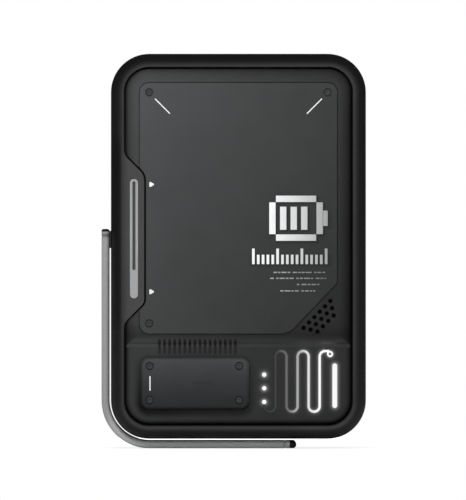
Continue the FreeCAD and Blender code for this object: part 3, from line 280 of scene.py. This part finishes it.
def painted(name, base, rough=0.42, spec=0.5, metallic=0.0, wear=0.3, shade=None):
    g = Graph(name)
    cloud = g.noise(70.0, 4.0, 0.6)
    tone = g.span(cloud, 0.3, 0.7, 0.95, 1.05)
    if shade is not None:
        tone = g.math("MULTIPLY", tone, shade(g))
    mask, soft = g.edge(0.00018)
    nick = g.span(g.noise(700.0, 4.0, 0.7), 0.5, 0.7, 0.0, 1.0)
    w = g.math("MULTIPLY", g.math("MULTIPLY", mask, nick), wear, clamp=True)
    g.l(g.mix(w, g.scaled(base, tone), tuple(min(1, c * 1.5 + 0.06) for c in base)), g.b.inputs["Base Color"])
    g.b.inputs["Metallic"].default_value = metallic
    g.l(g.span(g.noise(300.0, 3.0), 0.3, 0.7, rough - 0.05, rough + 0.05), g.b.inputs["Roughness"])
    g.b.inputs["Specular IOR Level"].default_value = spec
    g.l(g.bump(g.noise(2600.0, 3.0, 0.6), 0.25, 0.00002, soft), g.b.inputs["Normal"])
    return g.m


# ------------------------------------------------------------------ finishes
C_SERP0, C_SERP1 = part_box("light_pipe_serpentine")
tube_lo, tube_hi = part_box("bail_tube_front")
case_lo, case_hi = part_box("front_bezel")
BAR0, BAR1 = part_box("light_pipe_bar")
DOT0, DOT1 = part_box("light_pipe_dots")
HATCH0, HATCH1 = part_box("service_hatch")
FASCIA0, FASCIA1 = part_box("front_fascia")
TRIM0, TRIM1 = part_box("slide_trim")
CORNER = (case_lo.x + 30.0 * MM, case_lo.z + 30.0 * MM)


def ramp_of(g, f, stops):
    ramp = g.n("ShaderNodeValToRGB")
    ramp.color_ramp.interpolation = "EASE"
    el = ramp.color_ramp.elements
    while len(el) < len(stops):
        el.new(0.5)
    for e, (p, v) in zip(el, stops):
        e.position = p
        e.color = (v, v, v, 1)
    g.l(f, ramp.inputs[0])
    v = g.n("ShaderNodeSeparateColor")
    g.l(ramp.outputs[0], v.inputs[0])
    return v.outputs[0]


def serp_level(g):
    """The gauge fills from the dim first loop to the bright ring."""
    x, y, z = g.xyz()
    f = g.span(x, C_SERP0.x, C_SERP1.x, 0.0, 1.0)
    return ramp_of(g, f, [(0.0, 0.003), (0.178, 0.012), (0.335, 0.095), (0.493, 0.33), (0.65, 0.66),
                          (0.808, 0.87), (1.0, 0.90)])


def full_level(v):
    def build(g):
        x, y, z = g.xyz()
        return g.span(g.noise(120.0, 2.0), 0.3, 0.7, v * 0.98, v * 1.02)
    return build


def facing(low, power=3.0, up=0.0, down=3.5):
    """Painted shade: full tone on faces that look to the front or back, darker where the wall rolls away; up darkens
    upward faces, and down adds painted light to downward faces.
    """
    def build(g):
        nx, ny, nz = g.normal()
        t = g.math("POWER", g.math("ABSOLUTE", ny), power)
        v = g.span(t, 0.0, 1.0, low, 1.0)
        upper_painted_shade = g.math("MULTIPLY", g.math("MAXIMUM", nz, 0.0), -up)
        lower_painted_light = g.math("MULTIPLY", g.math("MAXIMUM", g.math("MULTIPLY", nz, -1.0), 0.0), down)
        lower_painted_light = g.math("MULTIPLY", lower_painted_light, g.math("ABSOLUTE", ny))
        x, y, z = g.xyz()
        # painted light: the right-hand wall is a little paler on its shoulder
        right_painted_light = g.math("MULTIPLY", g.math("MAXIMUM", nx, 0.0), g.math("ABSOLUTE", ny))
        right_painted_light = g.math("MULTIPLY", right_painted_light, g.smooth(x, 0.03, 0.06, 0.0, 0.6))
        v = g.math("MULTIPLY", v, g.math("ADD", 1.0, g.math("ADD", right_painted_light, g.math("ADD", upper_painted_shade, lower_painted_light))))
        # painted shade and light: the flat block of the slide control is darker near the bezel's edge and grows paler
        # away from it
        here = g.math("MULTIPLY", g.smooth(z, 0.085, 0.105, 0.0, 1.0), g.smooth(z, 0.232, 0.250, 1.0, 0.0))
        here = g.math("MULTIPLY", here, g.smooth(x, case_lo.x + 30 * MM, case_lo.x + 50 * MM, 1.0, 0.0))
        slide_painted_ramp = g.smooth(x, case_lo.x + 5.5 * MM, case_lo.x + 15.0 * MM, -0.38, 0.88)
        return g.math("MULTIPLY", v, g.math("ADD", 1.0, g.math("MULTIPLY", here, slide_painted_ramp)))
    return build


def fade(gx, gz, x0, z0, lo=0.3, hi=1.6):
    """Exponential drift of the tone across a face, used for painted shade."""
    def build(g):
        x, y, z = g.xyz()
        e = g.math("ADD", g.math("MULTIPLY", g.math("SUBTRACT", x, x0), gx),
                   g.math("MULTIPLY", g.math("SUBTRACT", z, z0), gz))
        v = g.math("EXPONENT", e)
        return g.math("MINIMUM", g.math("MAXIMUM", v, lo), hi)
    return build


LOCAL_X = (case_lo.x + case_hi.x) / 2        # middle of the case in the row frame
LX = [LOCAL_X + (28.9 + 8.6 * i) * MM for i in range(5)]
LZ0, LZ1, LR = 33.0 * MM, 71.6 * MM, 4.3 * MM


def lowest(g, parts):
    d = parts[0]
    for q in parts[1:]:
        d = g.math("MINIMUM", d, q)
    return d


def capsule_distance(g, xc, z0, z1, r):
    """Distance outside an upright capsule whose round ends have their centres at z0 and z1."""
    x, y, z = g.xyz()
    zc = g.math("SUBTRACT", z, g.math("MINIMUM", g.math("MAXIMUM", z, z0), z1))
    xx = g.math("SUBTRACT", x, xc)
    d = g.math("SQRT", g.math("ADD", g.math("MULTIPLY", xx, xx), g.math("MULTIPLY", zc, zc)))
    return g.math("SUBTRACT", d, r)


def bend_distance(g, xc, zc, top):
    """Distance from the centre line of a half-round bend; far away on its open side."""
    x, y, z = g.xyz()
    xx, zz = g.math("SUBTRACT", x, xc), g.math("SUBTRACT", z, zc)
    d = g.math("SQRT", g.math("ADD", g.math("MULTIPLY", xx, xx), g.math("MULTIPLY", zz, zz)))
    d = g.math("ABSOLUTE", g.math("SUBTRACT", d, LR))
    open_side = g.math("GREATER_THAN", g.math("MULTIPLY", zz, -1.0 if top else 1.0), 0.0)
    return g.math("SUBTRACT", g.math("ADD", d, g.math("MULTIPLY", open_side, 0.05)), 0.9 * MM)


def painted_pipe_glow(g):
    """Painted glow on the display floor right beside the light pipes, fading with distance from each pipe."""
    x, y, z = g.xyz()
    cols = [capsule_distance(g, xc, LZ0, LZ1, 0.9 * MM) for xc in LX]
    bends = [bend_distance(g, (LX[i] + LX[i + 1]) / 2, LZ1 if i % 2 == 0 else LZ0, i % 2 == 0) for i in range(4)]
    last = bend_distance(g, LX[4] + LR, LZ1, True)
    ring = capsule_distance(g, LOCAL_X + 71.4 * MM, 73.6 * MM, 73.6 * MM, 2.4 * MM)
    d = lowest(g, cols + bends + [g.math("ADD", last, g.math("MULTIPLY", g.math("GREATER_THAN", x, LX[4] + LR), 0.05)),
                                  ring])
    serp = g.math("MULTIPLY", g.math("EXPONENT", g.math("MULTIPLY", g.math("MAXIMUM", d, 0.0), -1.0 / (0.80 * MM))),
                  serp_level(g))
    rest = [capsule_distance(g, (BAR0.x + BAR1.x) / 2, BAR0.z + 1.8 * MM, BAR1.z - 1.8 * MM, 1.8 * MM)]
    rest += [capsule_distance(g, (DOT0.x + DOT1.x) / 2, zc, zc, 1.6 * MM) for zc in (57.5 * MM, 46.9 * MM, 36.25 * MM)]
    e = lowest(g, rest)
    glow2 = g.math("EXPONENT", g.math("MULTIPLY", g.math("MAXIMUM", e, 0.0), -1.0 / (0.90 * MM)))
    front = g.smooth(y, FASCIA0.y + 4.4 * MM, FASCIA0.y + 4.9 * MM, 0.0, 1.0)
    return g.math("MULTIPLY", g.math("ADD", g.math("MULTIPLY", serp, 0.18), g.math("MULTIPLY", glow2, 0.26)), front)


def pad_shadow(g):
    """Soft shade that the service hatch throws below and beside itself."""
    x, y, z = g.xyz()
    d = g.box_distance(HATCH0.x, HATCH1.x, HATCH0.z - 1.8 * MM, HATCH1.z - 1.8 * MM, 7 * MM)
    side = g.span(z, HATCH1.z, HATCH0.z + 2 * MM, 0.18, 1.0)
    side = g.math("MULTIPLY", side, g.span(x, HATCH0.x, HATCH1.x, 1.0, 0.55))
    a = g.math("MAXIMUM", side, g.span(z, HATCH0.z + 2 * MM, HATCH0.z - 1 * MM, 0.0, 0.70))
    near = g.smooth(d, 0.3 * MM, 6.6 * MM, 1.0, 0.0)
    front = g.span(y, FASCIA0.y + 4.0 * MM, FASCIA0.y + 4.8 * MM, 0.0, 1.0)
    return g.math("SUBTRACT", 1.0, g.math("MULTIPLY", g.math("MULTIPLY", a, near), front))


def fascia_tone(g):
    """Painted shade: the upper frame drifts darker to the right and downwards and darkens just above the step; the
    lower display floor sits darker and drifts darker to the right and downwards.
    """
    x, y, z = g.xyz()
    nx, ny, nz = g.normal()
    up = fade(-4.7, 2.2, -0.075, 0.235, 0.22, 1.5)(g)
    up = g.math("MULTIPLY", up, g.smooth(z, 0.0860, 0.1000, 0.54, 0.97))
    low = fade(-3.1, 1.0, -0.098, 0.060, 0.4, 1.2)(g)
    band = g.smooth(z, 0.0770, 0.0900, 0.0, 1.0)
    # painted shade: ambient occlusion darkens the fascia in hollows and creases
    ao = g.n("ShaderNodeAmbientOcclusion", samples=8)
    ao.inputs["Distance"].default_value = 0.006
    hollow_painted_shade = g.span(ao.outputs["AO"], 0.3, 0.9, 0.82, 1.0)
    v = g.math("ADD", g.math("MULTIPLY", up, band),
               g.math("MULTIPLY", g.math("MULTIPLY", low, 0.725), g.math("SUBTRACT", 1.0, band)))
    # painted light: the slope below the upper frame is lifted on its down-facing faces, brighter than its angle alone
    # would give
    zone = g.math("MULTIPLY", g.smooth(z, 0.0740, 0.0780, 0.0, 1.0), g.smooth(z, 0.0875, 0.0900, 1.0, 0.0))
    down = g.math("MAXIMUM", g.math("MULTIPLY", nz, -1.0), 0.0)
    v = g.math("MULTIPLY", v, g.math("ADD", 1.0, g.math("MULTIPLY", g.math("MULTIPLY", zone, down), 2.5)))
    # painted shade: upward faces of the fascia are held 12% darker
    upper_painted_shade = g.math("SUBTRACT", 1.0, g.math("MULTIPLY", g.math("MAXIMUM", nz, 0.0), 0.12))
    # painted shade: the flange down in the crease is darkened
    crease_painted_shade = g.smooth(y, FASCIA0.y + 5.6 * MM, FASCIA0.y + 8.6 * MM, 1.0, 0.12)
    v = g.math("MULTIPLY", g.math("MULTIPLY", v, upper_painted_shade), crease_painted_shade)
    return g.math("MULTIPLY", g.math("MULTIPLY", v, hollow_painted_shade), pad_shadow(g))


def rear_tone(g):
    nx, ny, nz = g.normal()
    # painted shade: ambient occlusion darkens the rear panel in hollows and creases
    ao = g.n("ShaderNodeAmbientOcclusion", samples=8)
    ao.inputs["Distance"].default_value = 0.006
    hollow_painted_shade = g.span(ao.outputs["AO"], 0.3, 0.9, 0.8, 1.0)
    # painted shade: upward faces of the rear panel are held darker
    upper_painted_shade = g.math("SUBTRACT", 1.0, g.math("MULTIPLY", g.math("MAXIMUM", nz, 0.0), 0.45))
    return g.math("MULTIPLY", upper_painted_shade, hollow_painted_shade)


def tilt_shade_and_light(inner, up=0.35, down=0.3):
    """Adds painted shade and light to a tone: upward-facing edges held back, downward-facing edges lifted a little."""
    def build(g):
        nx, ny, nz = g.normal()
        t = g.math("SUBTRACT", 1.0, g.math("MULTIPLY", g.math("MAXIMUM", nz, 0.0), up))
        t = g.math("ADD", t, g.math("MULTIPLY", g.math("MAXIMUM", g.math("MULTIPLY", nz, -1.0), 0.0), down))
        return g.math("MULTIPLY", inner(g), t)
    return build


def cover_tone(g):
    """Painted shade: drifts darker to the lower right, upward faces darker and downward faces lighter; the raised
    blocks and ticks throw a painted soft shadow down and to the right.
    """
    t = tilt_shade_and_light(fade(-3.9, 1.75, 0.000, 0.19), 0.30, 0.35)(g)
    ox, oz = LOCAL_X + 1.1 * MM, -1.1 * MM
    blocks = ((29.2, 60.6, 192.0, 197.0), (29.2, 60.6, 161.8, 166.8), (24.0, 29.0, 167.0, 191.8),
              (60.8, 65.8, 167.0, 191.8), (66.0, 69.6, 173.4, 185.4), (32.4, 37.4, 170.4, 188.4),
              (40.6, 45.6, 170.4, 188.4), (48.8, 53.8, 170.4, 188.4))
    parts = [g.box_distance(a * MM + ox, b * MM + ox, c * MM + oz, d * MM + oz, 0.3 * MM) for a, b, c, d in blocks]
    x, y, z = g.xyz()
    # ticks repeat every 3.78 mm
    wx = g.math("SUBTRACT", x, 10.6 * MM + 1.05 * MM + LOCAL_X + 0.7 * MM)
    rem = g.math("SUBTRACT", wx, g.math("MULTIPLY", g.math("ROUND", g.math("DIVIDE", wx, 3.78 * MM)), 3.78 * MM))
    dx = g.math("MAXIMUM", g.math("SUBTRACT", g.math("ABSOLUTE", rem), 1.05 * MM), 0.0)
    dz = g.math("MAXIMUM", g.math("SUBTRACT", g.math("ABSOLUTE", g.math("SUBTRACT", z, 146.6 * MM)), 3.7 * MM), 0.0)
    ends = g.math("MAXIMUM", g.math("SUBTRACT", g.math("ABSOLUTE", g.math("SUBTRACT", x, LOCAL_X + 40.6 * MM)),
                                    30.6 * MM), 0.0)
    parts.append(g.math("ADD", g.math("ADD", dx, dz), ends))
    d = g.math("MAXIMUM", lowest(g, parts), 0.0)
    shade = g.math("SUBTRACT", 1.0, g.math("MULTIPLY", g.math("EXPONENT", g.math("MULTIPLY", d, -1.0 / (0.9 * MM))),
                                           0.42))
    return g.math("MULTIPLY", t, shade)


def badge_tone(g):
    """Painted sheen: blocks fade from bright on the left to darker on the right; the thin rules are dimmer."""
    x, y, z = g.xyz()
    v = g.span(x, 0.026, 0.074, 1.0, 0.34)
    return g.math("MULTIPLY", v, g.span(z, 0.1405, 0.1415, 0.42, 1.0))


def tube_tone(g):
    """Satin steel; painted light lifts the foot run about twofold, painted shade darkens the crimp groove near the
    hinge, and a darker ring sits near the free end.
    """
    x, y, z = g.xyz()
    foot_painted_light = g.smooth(g.math("SUBTRACT", x, z), case_lo.x - 0.040, case_lo.x + 0.024, 1.0, 2.02)
    c = g.math("DIVIDE", g.math("SUBTRACT", z, 0.1662), 0.0016)
    crimp_painted_shade = g.math("MULTIPLY", g.math("EXPONENT", g.math("MULTIPLY", g.math("MULTIPLY", c, c), -1.0)), 0.55)
    e = g.math("DIVIDE", g.math("SUBTRACT", x, LOCAL_X + 36.0 * MM), 0.0009)
    mark = g.math("MULTIPLY", g.math("EXPONENT", g.math("MULTIPLY", g.math("MULTIPLY", e, e), -1.0)), 0.35)
    return g.math("MULTIPLY", foot_painted_light, g.math("MULTIPLY", g.math("SUBTRACT", 1.0, crimp_painted_shade), g.math("SUBTRACT", 1.0, mark)))


def trim_tone(g):
    """The channel floor lies in shade, the frame and the thumb are pale."""
    x, y, z = g.xyz()
    sunk = g.span(y, TRIM0.y + 0.08 * MM, TRIM0.y + 0.30 * MM, 0.0, 1.0)
    inside = g.math("LESS_THAN", g.math("ABSOLUTE", g.math("SUBTRACT", x, (TRIM0.x + TRIM1.x) / 2)), 1.9 * MM)
    return g.math("SUBTRACT", 1.0, g.math("MULTIPLY", g.math("MULTIPLY", sunk, inside), 0.56))


def mesh_tone(g):
    """The comb behind the slots shows, the cloth behind the round holes stays black."""
    x, y, z = g.xyz()
    return g.span(x, 0.004, 0.030, 1.0, 0.12)


M = {}
M["bezel"] = plastic("bezel_plastic", (0.0295, 0.0295, 0.0303), rough=0.6, wear=0.08, spec=0.18,
                     shade=facing(0.23))
M["shell"] = plastic("shell_plastic", (0.0185, 0.0185, 0.0192), wear=0.10)
# the fascia carries painted shade and a painted glow beside the light pipes
M["fascia"] = plastic("fascia_plastic", (0.0476, 0.0484, 0.0493), wear=0.05, spec=0.22, shade=fascia_tone,
                      glow_paint=painted_pipe_glow)
M["rear"] = plastic("rear_panel_plastic", (0.036, 0.0365, 0.037), wear=0.08, spec=0.25, shade=rear_tone)
M["cover"] = plastic("cover_plastic", (0.0402, 0.0411, 0.0420), wear=0.04, spec=0.22, shade=cover_tone)
# painted shade: the service hatch drifts darker downwards, upward faces darker and downward faces lighter
M["hatch"] = plastic("hatch_plastic", (0.0363, 0.0379, 0.0394), wear=0.04, spec=0.22,
                     shade=tilt_shade_and_light(fade(-0.8, 30.0, -0.03, 0.0565, 0.38, 1.5), 0.6, 0.3))
M["trim"] = plastic("trim_plastic", (0.33, 0.333, 0.337), rough=0.5, wear=0.1, bump=0.15, shade=trim_tone)
M["hinge"] = plastic("hinge_plastic", (0.03, 0.03, 0.031), rough=0.5)
M["white"] = painted("white_inlay", (0.80, 0.80, 0.80), rough=0.4, wear=0.0)
M["silver"] = painted("silver_blocks", (0.86, 0.865, 0.87), rough=0.36, metallic=0.0, wear=0.1, shade=badge_tone)
M["screw"] = painted("screw_black", (0.036, 0.037, 0.038), rough=0.50, spec=0.3, wear=0.25)
M["tube"] = brushed("tube_satin", (0.352, 0.355, 0.358), rough=0.6, path=CORNER, metallic=0.12, bump=0.10,
                    shade=tube_tone, spec=0.25, streak=0.4)
M["steel"] = brushed("plain_steel", (0.55, 0.55, 0.56), rough=0.35)
M["alu"] = brushed("mill_aluminium", (0.62, 0.63, 0.64), rough=0.4, fine=1800.0)
M["rubber"] = rubber("black_rubber", (0.018, 0.018, 0.018))
M["cap"] = rubber("bail_cap_rubber", (0.006, 0.006, 0.006), rough=0.5)
M["serp"] = glow("light_serpentine", serp_level)
M["bar"] = glow("light_bar", full_level(0.85))
M["dot"] = glow("light_dot", full_level(0.95))
M["board"] = board("board_green")
M["darkboard"] = board("board_black", (0.006, 0.007, 0.008))
M["inner"] = plastic("inner_plastic", (0.03, 0.03, 0.03), rough=0.55)
M["socket"] = plastic("socket_plastic", (0.02, 0.02, 0.021), rough=0.38, bump=0.15)
M["plate"] = plastic("port_plate_plastic", (0.038, 0.038, 0.040), rough=0.5)
M["button"] = plastic("button_plastic", (0.12, 0.122, 0.125), rough=0.5, bump=0.2)
M["foil"] = brushed("cell_foil", (0.66, 0.67, 0.69), rough=0.32, fine=700.0)
M["lead"] = rubber("lead_red", (0.38, 0.02, 0.015), rough=0.5)
M["mesh"] = painted("mesh_cloth", (0.020, 0.020, 0.021), rough=0.7, spec=0.2, wear=0.0, shade=mesh_tone)
M["pot"] = plastic("slide_housing", (0.030, 0.030, 0.031), rough=0.5)
M["sleeve"] = painted("capacitor_sleeve", (0.02, 0.02, 0.05), rough=0.3)

ASSIGN = {
    "front_bezel": "bezel", "rear_bezel": "bezel", "main_shell": "shell", "front_fascia": "fascia",
    "rear_panel": "rear", "battery_cover": "cover", "service_hatch": "hatch", "badge_blocks": "silver",
    "marker_inlays": "white", "slide_trim": "trim", "slide_thumb": "trim", "light_pipe_bar": "bar",
    "light_pipe_dots": "dot", "light_pipe_serpentine": "serp", "bail_tube_front": "tube",
    "bail_tube_rear": "tube", "bail_core": "steel", "hinge_pin": "steel", "bail_grip": "cap",
    "bail_end_plugs": "cap", "hinge_block": "hinge", "shell_gaskets": "rubber", "hatch_gasket": "rubber",
    "rear_feet": "rubber", "socket_flap": "rubber", "cover_screws": "screw", "hatch_screws": "screw",
    "rear_screws": "screw", "port_screws": "screw", "case_bolts": "steel", "hinge_screws": "steel",
    "flap_pin": "steel", "battery_cells": "foil", "battery_tray": "inner", "battery_leads": "lead",
    "bms_board": "board", "port_board": "board", "inverter_board": "board", "led_board": "darkboard",
    "button_switches": "inner", "capacitors": "sleeve", "car_socket": "socket", "cell_busbars": "steel",
    "chassis_plate": "alu", "heat_sink": "alu", "transformer": "inner", "dc_jacks": "socket",
    "input_jack": "socket", "ac_outlets": "socket", "usb_a_ports": "steel", "usb_c_ports": "steel",
    "fan_frame": "inner", "fan_rotor": "inner", "port_plate": "plate", "power_button": "button",
    "ac_button": "button", "dc_button": "button", "service_fuse": "inner", "slide_potentiometer": "pot",
    "vent_mesh": "mesh",
}
for name, ob in nodes.items():
    mat = M[ASSIGN[name]]
    ob.data.materials.clear()
    ob.data.materials.append(mat)
    for p in ob.data.polygons:
        p.material_index = 0

# ------------------------------------------------------------------ stage, light, camera
sc = bpy.context.scene
sc.view_settings.view_transform = "Standard"
sc.view_settings.look = "None"
sc.cycles.use_denoising = True

me = bpy.data.meshes.new("floor")
bm = bmesh.new()
bmesh.ops.create_grid(bm, x_segments=2, y_segments=2, size=0.9)
bm.to_mesh(me)
bm.free()
floor = bpy.data.objects.new("floor", me)
sc.collection.objects.link(floor)
floor.location = (0, 0, cad_lo.z - 0.0002)
fg = Graph("floor_pale")
cloth = fg.noise(240.0, 3.0, 0.6)
fg.l(fg.scaled((0.42, 0.42, 0.42), fg.span(cloth, 0.3, 0.7, 0.97, 1.03)), fg.b.inputs["Base Color"])
fg.b.inputs["Roughness"].default_value = 0.9
fg.b.inputs["Specular IOR Level"].default_value = 0.1
fg.l(fg.bump(cloth, 0.1, 0.0002), fg.b.inputs["Normal"])
lpn = fg.n("ShaderNodeLightPath")
gx, gy, gz = fg.xyz()
rad = fg.math("SQRT", fg.math("ADD", fg.math("MULTIPLY", gx, gx), fg.math("MULTIPLY", gy, gy)))
glowf = fg.span(rad, 0.18, 0.75, 0.74, 1.05)
fg.b.inputs["Emission Color"].default_value = (1, 1, 1, 1)
fg.l(fg.math("MULTIPLY", glowf, lpn.outputs["Is Camera Ray"]), fg.b.inputs["Emission Strength"])
me.materials.append(fg.m)

w = bpy.data.worlds.new("studio")
sc.world = w
w.use_nodes = True
wt = w.node_tree
wt.nodes.clear()
wo = wt.nodes.new("ShaderNodeOutputWorld")
lp = wt.nodes.new("ShaderNodeLightPath")


def sky(colour, strength):
    bg = wt.nodes.new("ShaderNodeBackground")
    bg.inputs[0].default_value = (*colour, 1)
    bg.inputs[1].default_value = strength
    return bg.outputs[0]


def either(fac, a, b):
    m = wt.nodes.new("ShaderNodeMixShader")
    wt.links.new(fac, m.inputs[0])
    wt.links.new(a, m.inputs[1])
    wt.links.new(b, m.inputs[2])
    return m.outputs[0]


soft = either(lp.outputs["Is Glossy Ray"], sky((0.97, 0.985, 1.0), 0.24), sky((1, 1, 1), 0.05))
wt.links.new(either(lp.outputs["Is Camera Ray"], soft, sky((1, 1, 1), 1.0)), wo.inputs[0])

MID = Vector((0.0, 0.0, 0.155))


def area(name, loc, size, watts, aim=MID, tint=(1, 1, 1), gloss=True):
    d = bpy.data.lights.new(name, "AREA")
    d.shape = "RECTANGLE"
    d.size, d.size_y = size
    d.energy = watts
    d.color = tint
    ob = bpy.data.objects.new(name, d)
    sc.collection.objects.link(ob)
    ob.location = loc
    ob.rotation_euler = (Vector(aim) - Vector(loc)).to_track_quat("-Z", "Y").to_euler()
    ob.visible_camera = False
    ob.visible_glossy = gloss
    return ob


area("key", (-0.10, -1.18, 0.80), (0.40, 0.40), 12.5, gloss=False)
area("front_fill", (0.0, -1.9, 0.16), (1.0, 1.0), 7.5)
area("right_fill", (1.6, 0.45, 0.5), (0.9, 1.2), 10.0, gloss=False)
area("left_fill", (-1.6, 0.45, 0.5), (0.9, 1.2), 10.0, gloss=False)
area("back_fill", (0.1, 1.9, 0.6), (1.2, 1.2), 26.0, gloss=False)

cam_d = bpy.data.cameras.new("camera")
cam = bpy.data.objects.new("camera", cam_d)
sc.collection.objects.link(cam)
LENS = 1500.0
SPAN = 0.3895                                # height of the frame at the front face
DIST = SPAN * LENS / 36.0
cam_d.sensor_width = 36.0
cam_d.lens = LENS
cam_d.clip_start, cam_d.clip_end = 0.5, 100.0
cam.location = (-0.00057, cad_lo.y - DIST, 0.15466)
cam.rotation_euler = (math.radians(90), 0, 0)
sc.camera = cam
